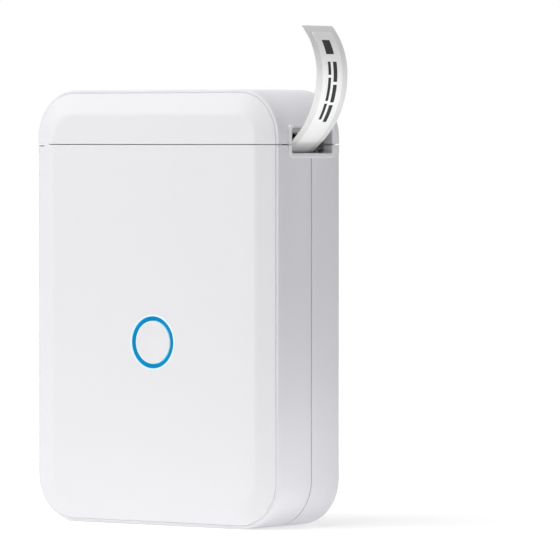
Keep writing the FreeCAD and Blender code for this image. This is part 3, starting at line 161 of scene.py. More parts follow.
# %% Tool line group
line_group, line_in, line_out = new_group(
    "tool_lines", {"Stretch": (1.0, 1.0, 1.0), "Fineness": 1500.0}, ("Height", "Gloss"))
here = add(line_group, "ShaderNodeTexCoord").outputs["Object"]
squeezed = add(line_group, "ShaderNodeVectorMath", {0: here, 1: line_in["Stretch"]},
               operation="MULTIPLY").outputs[0]
lines = add(line_group, "ShaderNodeTexNoise",
            {"Vector": squeezed, "Scale": line_in["Fineness"], "Detail": 3.0, "Roughness": 0.7}).outputs[0]
handled = add(line_group, "ShaderNodeTexNoise", {"Vector": here, "Scale": 180.0, "Detail": 2.0}).outputs[0]
line_group.links.new(lines, line_out["Height"])
line_group.links.new(math_node(line_group, "MULTIPLY", lines, handled), line_out["Gloss"])
print("tool_lines:", len(line_group.nodes), "nodes")

# %% [markdown]
# Paper is a mat of short fibres: a fine tangle in its height, and a cloudy look-through. A photo of
# paper would repeat along the strip. Distorted noise tangles in the same way and never repeats, and a
# coarser noise makes the clouds.

# %% Paper fibre group
fibre_group, fibre_in, fibre_out = new_group("paper_fibre", {"Fineness": 1800.0}, ("Height", "Cloud"))
here = add(fibre_group, "ShaderNodeTexCoord").outputs["Object"]
tangle = add(fibre_group, "ShaderNodeTexNoise",
             {"Vector": here, "Scale": fibre_in["Fineness"], "Detail": 4.0, "Distortion": 1.5}).outputs[0]
cloud = add(fibre_group, "ShaderNodeTexNoise", {"Vector": here, "Scale": 220.0, "Detail": 2.0}).outputs[0]
fibre_group.links.new(tangle, fibre_out["Height"])
fibre_group.links.new(cloud, fibre_out["Cloud"])
print("paper_fibre:", len(fibre_group.nodes), "nodes")

# %% [markdown]
# Most finishes below are put together from the same four steps: an empty Principled shader, a colour
# that darkens a little in places, a roughness that wanders about its mean, and a fine relief. Copying
# a whole material for each piece would hide what differs, so each step is a helper of its own.

# %% Finish helpers


def new_material(name):
    """A node material with an empty Principled shader."""
    material = bpy.data.materials.new(name)
    material.use_nodes = True
    tree = material.node_tree
    return material, tree, tree.nodes["Principled BSDF"]


def between(tree, factor, low, high):
    """Spread a 0 to 1 factor over a range."""
    return add(tree, "ShaderNodeMapRange", {"Value": factor, "To Min": low, "To Max": high}).outputs[0]


def tinted(tree, factor, colour, change):
    """A colour that gets darker, by a share of itself, where the factor is low."""
    mix = add(tree, "ShaderNodeMix", {"Factor": factor}, data_type="RGBA")
    mix.inputs["A"].default_value = [part * (1 - change) for part in colour] + [1]
    mix.inputs["B"].default_value = list(colour) + [1]
    return mix.outputs["Result"]


def bump(tree, shader, height, depth):
    """Raise the surface by a height field, depth in metres."""
    relief = add(tree, "ShaderNodeBump", {"Height": height, "Distance": depth, "Strength": 1.0})
    tree.links.new(relief.outputs[0], shader.inputs["Normal"])


print("finish helpers ready:", between.__name__, tinted.__name__, bump.__name__)

# %% [markdown]
# The case, its panel and its button are one white resin in three surfaces: a fine grain on the
# case, a smoother face on the panel, and a polished bezel. The black chassis is a coarser, duller
# moulding, and gears and spindle are waxy acetal. All of them are one recipe with other values,
# because on the real thing too only pigment, mould texture and polish differ.

# %% Mouldings
GLOSS_SPREAD = 0.06


def plastic(name, colour, roughness, fineness=2500.0, depth=0.004 * MM, change=0.025, coat=0.0):
    """A moulded plastic: colour, mean roughness, grain per metre, grain depth, shade change, lacquer."""
    material, tree, shader = new_material(name)
    grain = add(tree, "ShaderNodeGroup", node_tree=grain_group)
    grain.inputs["Fineness"].default_value = fineness
    sheen = between(tree, grain.outputs["Gloss"], roughness - GLOSS_SPREAD, roughness + GLOSS_SPREAD)
    tree.links.new(tinted(tree, grain.outputs["Shade"], colour, change), shader.inputs["Base Color"])
    tree.links.new(sheen, shader.inputs["Roughness"])
    bump(tree, shader, grain.outputs["Height"], depth)
    shader.inputs["Coat Weight"].default_value = coat
    return material


WHITE = (0.80, 0.792, 0.828)
PANEL = (0.825, 0.818, 0.840)
SATIN = {"fineness": 3500.0, "depth": 0.002 * MM, "change": 0.012}
case_white = plastic("case_white", WHITE, 0.42)
panel_white = plastic("panel_white", PANEL, 0.36, **SATIN)
button_white = plastic("button_white", PANEL, 0.34, **SATIN)
bezel_white = plastic("bezel_white", WHITE, 0.24, fineness=3500.0, depth=0.001 * MM, coat=0.2)
chassis_black = plastic("chassis_black", (0.022, 0.022, 0.025), 0.55, fineness=1600.0, depth=0.01 * MM,
                        change=0.2)
core_grey = plastic("core_grey", (0.30, 0.31, 0.32), 0.48, change=0.08)
spindle_white = plastic("spindle_white", (0.72, 0.72, 0.70), 0.33, change=0.04)
gear_acetal = plastic("gear_acetal", (0.76, 0.75, 0.69), 0.36, change=0.05)
print("base colours: case", WHITE, "and panel", PANEL)

# %% [markdown]
# The small parts inside are mouldings too: chip packages, plug housings, wire insulation, lamp lenses.
# Even the rubber of the platen, the foam of the pad and the glazed ceramic of the head could have
# recipes of their own, but a duller, rougher or glossier setting of the same one is enough here.

# %% Small parts
component_black = plastic("component_black", (0.028, 0.028, 0.03), 0.5, fineness=5000.0, change=0.15)
connector_cream = plastic("connector_cream", (0.70, 0.65, 0.53), 0.45, change=0.06)
wire_red = plastic("wire_red", (0.36, 0.025, 0.022), 0.38, change=0.1)
wire_grey = plastic("wire_grey", (0.17, 0.17, 0.185), 0.42, change=0.1)
led_lens = plastic("led_lens", (0.74, 0.78, 0.82), 0.12, depth=0.0, coat=0.5)
platen_rubber = plastic("platen_rubber", (0.035, 0.035, 0.038), 0.68, fineness=3000.0, depth=0.012 * MM,
                        change=0.15)
pad_foam = plastic("pad_foam", (0.075, 0.075, 0.08), 0.9, fineness=1800.0, depth=0.12 * MM, change=0.45)
head_ceramic = plastic("head_ceramic", (0.82, 0.80, 0.75), 0.16, depth=0.0, change=0.05, coat=0.4)
print("materials so far:", len(bpy.data.materials))

# %% [markdown]
# Shafts and screws are turned, so their lines run round the depth axis. Sheet, spring and heat sink
# are rolled or extruded, so theirs run along it, and those of the tin shield lie level. Sintered bronze
# and foil have none. Scratches drawn for each would show no more at this size than one recipe that
# takes the stretch as a value.

# %% Metals
METAL_DARKER = 0.25
METAL_SMOOTHER = 0.1
METAL_ROUGHER = 0.2
AROUND_DEPTH = (1.0, 30.0, 1.0)
ALONG_DEPTH = (30.0, 1.0, 30.0)
LEVEL = (1.0, 1.0, 12.0)
NO_LINES = (1.0, 1.0, 1.0)


def metal(name, colour, roughness, stretch, fineness=1500.0, depth=0.002 * MM):
    """A bare metal: colour, roughness, which way its lines run, lines per metre, line depth."""
    material, tree, shader = new_material(name)
    worked = add(tree, "ShaderNodeGroup", node_tree=line_group)
    worked.inputs["Stretch"].default_value = stretch
    worked.inputs["Fineness"].default_value = fineness
    sheen = between(tree, worked.outputs["Gloss"], roughness - METAL_SMOOTHER, roughness + METAL_ROUGHER)
    tree.links.new(tinted(tree, worked.outputs["Gloss"], colour, METAL_DARKER), shader.inputs["Base Color"])
    tree.links.new(sheen, shader.inputs["Roughness"])
    shader.inputs["Metallic"].default_value = 1.0
    bump(tree, shader, worked.outputs["Height"], depth)
    return material


shaft_steel = metal("shaft_steel", (0.56, 0.56, 0.57), 0.26, AROUND_DEPTH)
sheet_steel = metal("sheet_steel", (0.60, 0.60, 0.60), 0.34, ALONG_DEPTH)
screw_steel = metal("screw_steel", (0.17, 0.17, 0.18), 0.42, AROUND_DEPTH)
heat_sink_aluminium = metal("heat_sink_aluminium", (0.67, 0.67, 0.68), 0.36, ALONG_DEPTH)
bush_bronze = metal("bush_bronze", (0.50, 0.34, 0.18), 0.44, NO_LINES, fineness=4000.0)
pinion_brass = metal("pinion_brass", (0.66, 0.48, 0.20), 0.30, ALONG_DEPTH)
motor_can = metal("motor_can", (0.52, 0.52, 0.53), 0.30, AROUND_DEPTH)
shield_tin = metal("shield_tin", (0.64, 0.64, 0.62), 0.33, LEVEL)
battery_foil = metal("battery_foil", (0.55, 0.56, 0.58), 0.40, NO_LINES, fineness=600.0, depth=0.05 * MM)
print("metal lines: round the depth", AROUND_DEPTH, "and along it", ALONG_DEPTH)

# %% [markdown]
# The ring is a light guide: pale plastic lit from behind, which the eye reads as an even band of
# blue. Real lamps behind a glassy ring would be slow and noisy to render, so the surface gives the
# light itself. Four lamps feed it, so a cosine of the angle makes it brighter above each of them.

# %% Lit ring
RING_RADIUS = 7.6 * MM
RING_STROKE = 1.06 * MM
RING_GLOW = (0.0016, 0.20, 0.42)
RING_BASE = (0.0, 0.08, 0.17, 1)
RING_DIMMER = 0.14
RING_LAMPS = 4.0
FIRST_LAMP = math.pi / 4
button_low, button_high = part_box("power_button")
button_x = (button_low.x + button_high.x) / 2
button_z = (button_low.z + button_high.z) / 2
ring_blue, tree, shader = new_material("ring_blue")
here = add(tree, "ShaderNodeTexCoord").outputs["Object"]
centred = add(tree, "ShaderNodeMapping", {"Vector": here, "Location": (-button_x, 0, -button_z)})
split = add(tree, "ShaderNodeSeparateXYZ", {0: centred.outputs[0]})
turn = math_node(tree, "ARCTAN2", split.outputs["Z"], split.outputs["X"])
turn = math_node(tree, "MULTIPLY", math_node(tree, "ADD", turn, FIRST_LAMP), RING_LAMPS)
above_lamp = math_node(tree, "MULTIPLY_ADD", math_node(tree, "COSINE", turn), 0.5, 0.5)
tree.links.new(tinted(tree, above_lamp, RING_GLOW, RING_DIMMER), shader.inputs["Emission Color"])
shader.inputs["Emission Strength"].default_value = 1.0
shader.inputs["Base Color"].default_value = RING_BASE
shader.inputs["Roughness"].default_value = 0.4
shader.inputs["Specular IOR Level"].default_value = 0.03
print("ring centre:", in_mm((button_x, button_z)), "mm")

# %% [markdown]
# White resin is slightly translucent, so a little of the ring's light creeps into the panel and the
# button beside it. True scattering under the surface would cost far more time for a line under a
# millimetre wide. A mask that fades with the distance from the ring feeds their own faint glow.

# %% Light bleed
BLEED = 0.75 * MM
BLEED_GLOW = (0.0, 0.26, 0.30)


def front_view(tree):
    """A point's place as seen from the front: X across and Z up, with the depth dropped."""
    place = add(tree, "ShaderNodeTexCoord").outputs["Object"]
    parts = add(tree, "ShaderNodeSeparateXYZ", {0: place}).outputs
    return add(tree, "ShaderNodeCombineXYZ", {"X": parts["X"], "Y": parts["Z"]}).outputs[0]


def from_axis(tree, x, z):
    """A point's distance from a line along the depth."""
    return add(tree, "ShaderNodeVectorMath", {0: front_view(tree), 1: (x, z, 0)},
               operation="DISTANCE").outputs["Value"]


bleed_group, bleed_in, bleed_out = new_group("ring_bleed", {"Reach": BLEED}, ("Mask",))
ring_middle = RING_RADIUS - RING_STROKE / 2
off_middle = math_node(bleed_group, "SUBTRACT", from_axis(bleed_group, button_x, button_z), ring_middle)
off_middle = math_node(bleed_group, "ABSOLUTE", off_middle)
beyond = math_node(bleed_group, "SUBTRACT", off_middle, RING_STROKE / 2)
fade = add(bleed_group, "ShaderNodeMapRange",
           {"Value": beyond, "From Max": bleed_in["Reach"], "To Min": 1.0, "To Max": 0.0},
           interpolation_type="SMOOTHSTEP")
bleed_group.links.new(fade.outputs[0], bleed_out["Mask"])
for resin in (panel_white, button_white):
    tree = resin.node_tree
    shader = tree.nodes["Principled BSDF"]
    mask = add(tree, "ShaderNodeGroup", node_tree=bleed_group).outputs["Mask"]
    tree.links.new(tinted(tree, mask, BLEED_GLOW, change=1.0), shader.inputs["Emission Color"])
    shader.inputs["Emission Strength"].default_value = 1.0
print("light bleeds", BLEED / MM, "mm beyond the ring")

# %% [markdown]
# ## Hand tools
#
# Modelling by hand is a rhythm: choose one object, enter edit mode, select a few edges or faces, run
# one operator. The points could also be set one by one, but operators keep to the steps that a hand
# would take. Selection is by place or direction, so it gives the same answer on every run.

# %% Selecting and editing
CLOSE = 0.005 * MM


def focus(piece):
    """Make one object the only selected and active one."""
    bpy.ops.object.select_all(action="DESELECT")
    piece.select_set(True)
    bpy.context.view_layer.objects.active = piece


def edit(piece):
    """Enter edit mode on one object with everything in it selected."""
    focus(piece)
    bpy.ops.object.mode_set(mode="EDIT")
    bpy.ops.mesh.select_all(action="SELECT")


def leave():
    """Go back to object mode."""
    bpy.ops.object.mode_set(mode="OBJECT")


def pick(kind, test):
    """In edit mode, select only the VERT, EDGE or FACE elements that pass a test."""
    bpy.ops.mesh.select_mode(type=kind)
    bpy.ops.mesh.select_all(action="DESELECT")
    mesh = bpy.context.object.data
    work = bmesh.from_edit_mesh(mesh)
    work.normal_update()
    for item in {"VERT": work.verts, "EDGE": work.edges, "FACE": work.faces}[kind]:
        item.select_set(test(item))
    work.select_flush_mode()
    bmesh.update_edit_mesh(mesh)


def near(value, target):
    """Whether two coordinates are the same place."""
    return abs(value - target) < CLOSE


print("hand tools ready: places agree within", CLOSE / MM, "mm")

# %% [markdown]
# ## Front panel
#
# The front is one shallow pillow: a broad flat inside a sloping border, with round corners that follow
# the case. Its size could be typed in, but it is taken from the construction boxes of its two halves,
# so that it always fits them. Only the finer values, such as the width of the border, are set here.

# %% Panel sizes
CASE_CORNER = 14.0 * MM
PANEL_GROW = 0.1 * MM
PANEL_BORDER = 6.2 * MM
PANEL_RISE = 1.65 * MM
PANEL_BLEND = 0.6 * MM
PANEL_EDGE = 0.2 * MM
panel_low, panel_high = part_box("front_panel")
lid_panel_low, lid_panel_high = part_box("lid_front_panel")
flat_y = panel_low.y
border_y = flat_y + PANEL_RISE
panel_corner = CASE_CORNER - (panel_low.x - cad_low.x) + PANEL_GROW
print("panel corner radius:", in_mm([panel_corner]), "mm")

# %% [markdown]
# A subdivided surface would swell all over, so the pillow starts as a cube instead. Its four corners
# are bevelled round, the front face is inset by the border's width and pulled forward, and the two
# edge loops are softened. Each step selects what the last one made, by its place or its normal.

# %% Pillow
CORNER_SEGMENTS = 24
BLEND_SEGMENTS = 6
EDGE_SEGMENTS = 4
FACING_FRONT = -0.99


def block(name, low, high):
    """A cube primitive drawn out to a box, its scale applied so that bevels come out even."""
    bpy.ops.object.select_all(action="DESELECT")
    low, high = Vector(low), Vector(high)
    bpy.ops.mesh.primitive_cube_add(size=1, location=(low + high) / 2, scale=high - low)
    piece = bpy.context.object
    piece.name = name
    bpy.ops.object.transform_apply(location=True, rotation=True, scale=True)
    return piece


def along_depth(edge):
    """Test for edges that run from front to back."""
    return abs(edge.verts[0].co.y - edge.verts[1].co.y) > PANEL_EDGE


def at_y(place):
    """Test for edges that lie in one plane across the depth."""
    return lambda edge: all(near(corner.co.y, place) for corner in edge.verts)


lid_panel = block("lid_panel_pillow", (panel_low.x - PANEL_GROW, border_y, panel_low.z - PANEL_GROW),
                  (panel_high.x + PANEL_GROW, panel_high.y, lid_panel_high.z + PANEL_GROW))
edit(lid_panel)
pick("EDGE", along_depth)
bpy.ops.mesh.bevel(offset=panel_corner, segments=CORNER_SEGMENTS, affect="EDGES")
pick("FACE", lambda face: face.normal.y < FACING_FRONT)
bpy.ops.mesh.inset(thickness=PANEL_BORDER, use_even_offset=True)
bpy.ops.transform.translate(value=(0, -PANEL_RISE, 0))
pick("EDGE", at_y(flat_y))
bpy.ops.mesh.bevel(offset=PANEL_BLEND, segments=BLEND_SEGMENTS, affect="EDGES")
pick("EDGE", at_y(border_y))
bpy.ops.mesh.bevel(offset=PANEL_EDGE, segments=EDGE_SEGMENTS, affect="EDGES")
leave()
print("pillow:", len(lid_panel.data.polygons), "faces")

# %% [markdown]
# A modifier does in one step what takes many by hand, and applying it leaves a plain mesh. A finished
# piece is shaded last: smooth over gentle turns and hard at true edges. Weighted normals then keep
# each flat quite flat right up to a rounded edge, as it is on a moulding. The piece then takes the
# place of its construction node, moves with the same body and gets a material of its own.

# %% Finishing a piece
SHARP_ANGLE = 35


def use_modifier(piece, kind, **settings):
    """Add a modifier, set it up and apply it."""
    modifier = piece.modifiers.new(kind.lower(), kind)
    for setting, value in settings.items():
        setattr(modifier, setting, value)
    focus(piece)
    bpy.ops.object.modifier_apply(modifier=modifier.name)


def smooth(piece, angle=SHARP_ANGLE):
    """Soft shading over turns gentler than an angle in degrees, hard edges elsewhere."""
    focus(piece)
    bpy.ops.object.shade_smooth_by_angle(angle=math.radians(angle))
    use_modifier(piece, "WEIGHTED_NORMAL", keep_sharp=True)


def stand_for(piece, node, material):
    """A finished piece takes a node's place: its body and its room."""
    piece.data.materials.clear()
    piece.data.materials.append(material)
    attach(piece, nodes[node]["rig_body"])
    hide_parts(node)


print("edges sharper than", SHARP_ANGLE, "degrees stay hard")

# %% [markdown]
# The lid's seam divides the front in two. Two panels drawn apart could fail to meet, so the pillow is
# copied, each copy is cut by a bisect, and the borders always line up. The front edge of each cut is
# rounded a little, because that edge is what catches the light beside a real seam.

# %% Lid panel
SEAM_LAP = 0.05 * MM
LID_SEAM_EDGE = 0.12 * MM
SEAM_SEGMENTS = 3
SEAM_WELD = 0.002 * MM
seam_front = border_y - PANEL_EDGE / 8
lid_edge = lid_panel_low.z - SEAM_LAP


def twin(piece, name):
    """A copy of a piece with a mesh of its own."""
    focus(piece)
    bpy.ops.object.duplicate()
    copy = bpy.context.object
    copy.name = name
    return copy


def keep_side(piece, height, above):
    """Cut a piece at a height, keep one side and close the cut."""
    edit(piece)
    bpy.ops.mesh.bisect(plane_co=(0, 0, height), plane_no=(0, 0, 1), use_fill=True,
                        clear_inner=above, clear_outer=not above)
    leave()


def ease_seam(piece, height, size):
    """Round the front edge of the cut, and weld the points that this brings together."""
    edit(piece)
    pick("EDGE", lambda edge: all(near(corner.co.z, height) and corner.co.y < seam_front
                                  for corner in edge.verts))
    bpy.ops.mesh.bevel(offset=size, segments=SEAM_SEGMENTS, affect="EDGES")
    bpy.ops.mesh.select_all(action="SELECT")
    bpy.ops.mesh.remove_doubles(threshold=SEAM_WELD)
    leave()


lower_panel = twin(lid_panel, "front_panel_pillow")
keep_side(lid_panel, lid_edge, above=True)
ease_seam(lid_panel, lid_edge, LID_SEAM_EDGE)
smooth(lid_panel)
stand_for(lid_panel, "lid_front_panel", panel_white)
print("lid panel:", len(lid_panel.data.polygons), "faces")

# %% [markdown]
# The lower part also gets the hole for the ring and, at its left end, the scallop that lets the
# lid's corner swing past. Both are round cuts along the depth. A loop could be cut in by hand, but a
# cylinder and a Boolean keep the hole's true radius whatever faces it crosses.

# %% Lower panel
LOWER_SEAM_EDGE = 0.2 * MM
RING_HOLE_GAP = 0.05 * MM
SWING_GAP = 0.3 * MM
DRILL_OVERRUN = 1.0 * MM
ROUND_STEPS = 128
lower_edge = panel_high.z + SEAM_LAP
hinge = Vector(joints["lid_hinge"]["pos_m"])
swing = math.hypot(hinge.x - cad_low.x, hinge.z - lid_panel_low.z) + SWING_GAP


def drill(piece, x, z, radius, front, back):
    """Cut a round hole along the depth."""
    bpy.ops.object.select_all(action="DESELECT")
    bpy.ops.mesh.primitive_cylinder_add(
        vertices=ROUND_STEPS, radius=radius, depth=back - front,
        location=(x, (front + back) / 2, z), rotation=(math.pi / 2, 0, 0))
    cutter = bpy.context.object
    use_modifier(piece, "BOOLEAN", object=cutter, operation="DIFFERENCE", solver="EXACT")
    bpy.data.objects.remove(cutter)


keep_side(lower_panel, lower_edge, above=False)
for x, z, radius in ((button_x, button_z, RING_RADIUS + RING_HOLE_GAP), (hinge.x, hinge.z, swing)):
    drill(lower_panel, x, z, radius, flat_y - DRILL_OVERRUN, panel_high.y + DRILL_OVERRUN)
ease_seam(lower_panel, lower_edge, LOWER_SEAM_EDGE)
smooth(lower_panel)
stand_for(lower_panel, "front_panel", panel_white)
print("lower panel:", len(lower_panel.data.polygons), "faces")

# %% [markdown]
# ## Ring and button
#
# Both are round about the depth axis. Cylinders stacked and bevelled would do, but half a section that
# is drawn and spun shows the whole form at once, and its corners are rounded before the spin, which
# keeps the rounding even. The roll of labels is made in the same way later on.

# %% Lathe
TURNED_ANGLE = 40
ROUND_SEGMENTS = 5
SPIN_WELD = 0.001 * MM


def lathe(name, profile, x, z, rounds=()):
    """Draw a profile of (radius, y) points, round some of its corners, and spin it about the depth."""
    bpy.ops.object.select_all(action="DESELECT")
    bpy.ops.mesh.primitive_plane_add(size=MM)
    piece = bpy.context.object
    piece.name = name
    edit(piece)
    bpy.ops.mesh.select_mode(type="VERT")
    bpy.ops.mesh.merge(type="CENTER")
    points = [Vector((x + radius, y, z)) for radius, y in profile]
    bpy.ops.transform.translate(value=points[0])
    for start, end in zip(points, points[1:]):
        bpy.ops.mesh.extrude_vertices_move(TRANSFORM_OT_translate={"value": end - start})
    for number, size in rounds:
        pick("VERT", lambda corner: (corner.co - points[number]).length < CLOSE)
        bpy.ops.mesh.bevel(offset=size, segments=ROUND_SEGMENTS, affect="VERTICES")
    bpy.ops.mesh.select_all(action="SELECT")
    bpy.ops.mesh.spin(steps=ROUND_STEPS, angle=2 * math.pi, center=(x, 0, z), axis=(0, 1, 0))
    bpy.ops.mesh.select_all(action="SELECT")
    bpy.ops.mesh.remove_doubles(threshold=SPIN_WELD)
    bpy.ops.mesh.normals_make_consistent(inside=False)
    leave()
    return piece


print("lathe ready:", ROUND_STEPS, "steps round")

# %% [markdown]
# The ring stands a hair proud of the panel with its two front edges rounded, and hides a flange behind
# the wall. A torus would be quicker, but rounder than the real ring, which is nearly flat in front.

# %% Ring
RING_FLANGE = 0.9 * MM
RING_EDGE = 0.25 * MM
ring_low, ring_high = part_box("light_ring")
ring_inner = RING_RADIUS - RING_STROKE
flange_radius = (ring_high.x - ring_low.x) / 2
flange_y = ring_high.y - RING_FLANGE
ring = lathe("light_ring_guide", [
    (ring_inner, ring_high.y), (ring_inner, ring_low.y), (RING_RADIUS, ring_low.y),
    (RING_RADIUS, flange_y), (flange_radius, flange_y), (flange_radius, ring_high.y),
    (ring_inner, ring_high.y)], button_x, button_z, rounds=((1, RING_EDGE), (2, RING_EDGE)))
smooth(ring, TURNED_ANGLE)
stand_for(ring, "light_ring", ring_blue)
print("ring:", in_mm([2 * RING_RADIUS]), "mm across")

# %% [markdown]
# The button's face is dished by a tenth of a millimetre, which a fingertip can find, and a stem behind
# it reaches the switch. The two lugs that keep it from falling out aren't round, so they can't be
# spun: they are one bevelled block, joined on by a Boolean union.

# %% Button
BUTTON_GAP = 0.2 * MM
BUTTON_THICKNESS = 2.0 * MM
BUTTON_EDGE = 0.3 * MM
BUTTON_DISH = 0.1 * MM
DISH_CURVE = ((0.0, 1.0), (0.35, 0.9), (0.7, 0.4), (0.9, 0.0))
STEM_RADIUS = 2.2 * MM
LUG_WIDTH = 2.0 * MM
LUG_THICKNESS = 0.7 * MM
LUG_GAP = 0.2 * MM
LUG_EDGE = 0.15 * MM
LUG_SEGMENTS = 2
cap_radius = ring_inner - BUTTON_GAP
cap_back = button_low.y + BUTTON_THICKNESS
face = [(cap_radius * out, button_low.y + BUTTON_DISH * depth) for out, depth in DISH_CURVE]
button = lathe("power_button_cap", face + [
    (cap_radius, button_low.y), (cap_radius, cap_back), (STEM_RADIUS, cap_back),
    (STEM_RADIUS, button_high.y), (0, button_high.y)],
    button_x, button_z, rounds=((len(face), BUTTON_EDGE),))
lug_y = ring_high.y + LUG_GAP
lugs = block("power_button_lugs", (button_low.x, lug_y, button_z - LUG_WIDTH / 2),
             (button_high.x, lug_y + LUG_THICKNESS, button_z + LUG_WIDTH / 2))
use_modifier(lugs, "BEVEL", width=LUG_EDGE, segments=LUG_SEGMENTS)
use_modifier(button, "BOOLEAN", object=lugs, operation="UNION", solver="EXACT")
bpy.data.objects.remove(lugs)
smooth(button, TURNED_ANGLE)
stand_for(button, "power_button", button_white)
print("button:", in_mm([2 * cap_radius]), "mm across")

# %% [markdown]
# ## Label strip
#
# Labels ride on a ribbon of glassine liner. It comes off the roll, climbs straight to the outlet, and
# curls up and back as wound paper does. A curve with a bevel could draw it, but labels must lie on it
# too, so the path is a function of the distance along it: three arcs and a straight run.

# %% Tape path
EXIT_SLOPE = math.radians(40)
EXIT_INSET = 0.4 * MM
TAPE_RADIUS = 20.925 * MM
TAPE_WRAP = math.radians(60)
CURLS = ((25.6 * MM, math.radians(50)), (20.4 * MM, math.radians(43)))
roll_axis = Vector(joints["roll_spin"]["pos_m"])
exit_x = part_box("front_housing")[1].x - EXIT_INSET
straight = (exit_x - roll_axis.x - TAPE_RADIUS * math.sin(EXIT_SLOPE)) / math.cos(EXIT_SLOPE)
runs = [(TAPE_RADIUS * TAPE_WRAP, TAPE_RADIUS), (straight, 0)]
runs += [(radius * turn, radius) for radius, turn in CURLS]
tape_length = sum(length for length, radius in runs)


def on_tape(distance, offset):
    """Point at a distance along the tape's middle, set off to its inner side."""
    heading = EXIT_SLOPE - TAPE_WRAP
    x = roll_axis.x + TAPE_RADIUS * math.sin(heading)
    z = roll_axis.z - TAPE_RADIUS * math.cos(heading)
    for length, radius in runs:
        step = min(distance, length)
        if radius:
            turned = heading + step / radius
            x += radius * (math.sin(turned) - math.sin(heading))
            z += radius * (math.cos(heading) - math.cos(turned))
            heading = turned
        else:
            x += step * math.cos(heading)
            z += step * math.sin(heading)
        distance -= step
        if distance <= 0:
            break
    return x - offset * math.sin(heading), z + offset * math.cos(heading)


print("strip:", in_mm([tape_length]), "mm long, tip at", in_mm(on_tape(tape_length, 0)), "mm")

# %% [markdown]
# The liner is a smooth, slightly grey paper that the label peels off. It starts as a flat grid of the
# strip's real length and width, fine enough to bend. Each of its points is then laid on the path, which
# is simpler than a Curve modifier and leaves nothing to apply, and Solidify gives it its thickness,
# half on each side.

# %% Liner
LINER = 0.25 * MM
CELLS_ALONG = 240
CELLS_ACROSS = 6
strip_low, strip_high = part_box("label_strip")
tape_middle = (strip_low.y + strip_high.y) / 2
tape_width = strip_high.y - strip_low.y


def lay_on_tape(piece, start, offset):
    """Wrap a flat sheet, drawn along X from 0, onto the tape from a distance on."""
    for corner in piece.data.vertices:
        x, z = on_tape(start + corner.co.x, offset)
        corner.co = (x, corner.co.y, z)


bpy.ops.object.select_all(action="DESELECT")
bpy.ops.mesh.primitive_grid_add(x_subdivisions=CELLS_ALONG, y_subdivisions=CELLS_ACROSS, size=1,
                                location=(tape_length / 2, tape_middle, 0))
liner = bpy.context.object
liner.name = "label_liner"
liner.scale = (tape_length, tape_width, 1)
bpy.ops.object.transform_apply(location=True, rotation=True, scale=True)
lay_on_tape(liner, 0, 0)
use_modifier(liner, "SOLIDIFY", thickness=LINER, offset=0)
smooth(liner, TURNED_ANGLE)
print("liner:", len(liner.data.polygons), "faces,", in_mm([tape_width]), "mm wide")

# %% [markdown]
# Glassine is pressed until it shines a little. Its fibre could be left out at this distance, but close
# up it shows as a slight cloud, so the same cloud drives its colour and its gloss.

# %% Liner paper
LINER_GREY = (0.78, 0.78, 0.775)
liner_paper, tree, shader = new_material("liner_paper")
fibre = add(tree, "ShaderNodeGroup", node_tree=fibre_group).outputs
tree.links.new(tinted(tree, fibre["Cloud"], LINER_GREY, change=0.06), shader.inputs["Base Color"])
tree.links.new(between(tree, fibre["Cloud"], low=0.38, high=0.5), shader.inputs["Roughness"])
bump(tree, shader, fibre["Height"], depth=0.004 * MM)
stand_for(liner, "label_strip", liner_paper)
print("liner colour:", LINER_GREY)

# %% [markdown]
# Thermal print is plain dark bars here. An image could hold them, but none is needed: each bar is where
# one comparison along the label and one across it both hold. Each row below gives the middle and half
# height of a line of bars, and the start and end of each bar, as shares of the label.

# %% Label bars
ROWS = ((0.64, 0.095, ((0.315, 0.45), (0.47, 0.60), (0.62, 0.765))),
        (0.35, 0.07, ((0.335, 0.46), (0.48, 0.65), (0.67, 0.765))),
        (0.48, 0.20, ((0.82, 0.93),)))
print_group, print_in, print_out = new_group("label_bars", {"Place": (0.0, 0.0, 0.0)}, ("Ink",))
split = add(print_group, "ShaderNodeSeparateXYZ", {0: print_in["Place"]})
ink = 0.0
for middle, half_height, bars in ROWS:
    across = math_node(print_group, "COMPARE", split.outputs["Y"], middle, half_height)
    for start, end in bars:
        along = math_node(print_group, "COMPARE", split.outputs["X"], (start + end) / 2, (end - start) / 2)
        ink = math_node(print_group, "MAXIMUM", ink, math_node(print_group, "MULTIPLY", along, across))
print_group.links.new(ink, print_out["Ink"])
print("label print:", sum(len(bars) for middle, half_height, bars in ROWS), "bars")

# %% [markdown]
# Label paper is whiter and duller than the liner, and its print is heat-darkened coating, not a layer
# of ink, so print changes the colour alone. It reads the label's own UV map instead of Object
# coordinates, so that the bars follow the curl.

# %% Label paper
LABEL_WHITE = (0.92, 0.92, 0.92)
INK_BLACK = (0.012, 0.012, 0.014, 1)
LABEL_MAP = "flat_label"
label_paper, tree, shader = new_material("label_paper")
fibre = add(tree, "ShaderNodeGroup", node_tree=fibre_group).outputs
place = add(tree, "ShaderNodeUVMap", uv_map=LABEL_MAP).outputs[0]
ink = add(tree, "ShaderNodeGroup", {"Place": place}, node_tree=print_group).outputs["Ink"]
printed = add(tree, "ShaderNodeMix", {"Factor": ink}, data_type="RGBA")
tree.links.new(tinted(tree, fibre["Cloud"], LABEL_WHITE, change=0.03), printed.inputs["A"])
printed.inputs["B"].default_value = INK_BLACK
tree.links.new(printed.outputs["Result"], shader.inputs["Base Color"])
tree.links.new(between(tree, fibre["Cloud"], low=0.5, high=0.62), shader.inputs["Roughness"])
shader.inputs["Specular IOR Level"].default_value = 0.25
bump(tree, shader, fibre["Height"], depth=0.003 * MM)
print("label colours: paper", LABEL_WHITE, "and print", INK_BLACK[:3])

# %% [markdown]
# Each label is a die-cut sheet with rounded corners. A grid can't have those, so a plane gets them from
# a vertex bevel and is then cut across every millimetre so that it can bend. Its UV map is the label
# itself, from 0 to 1 along it and across it.

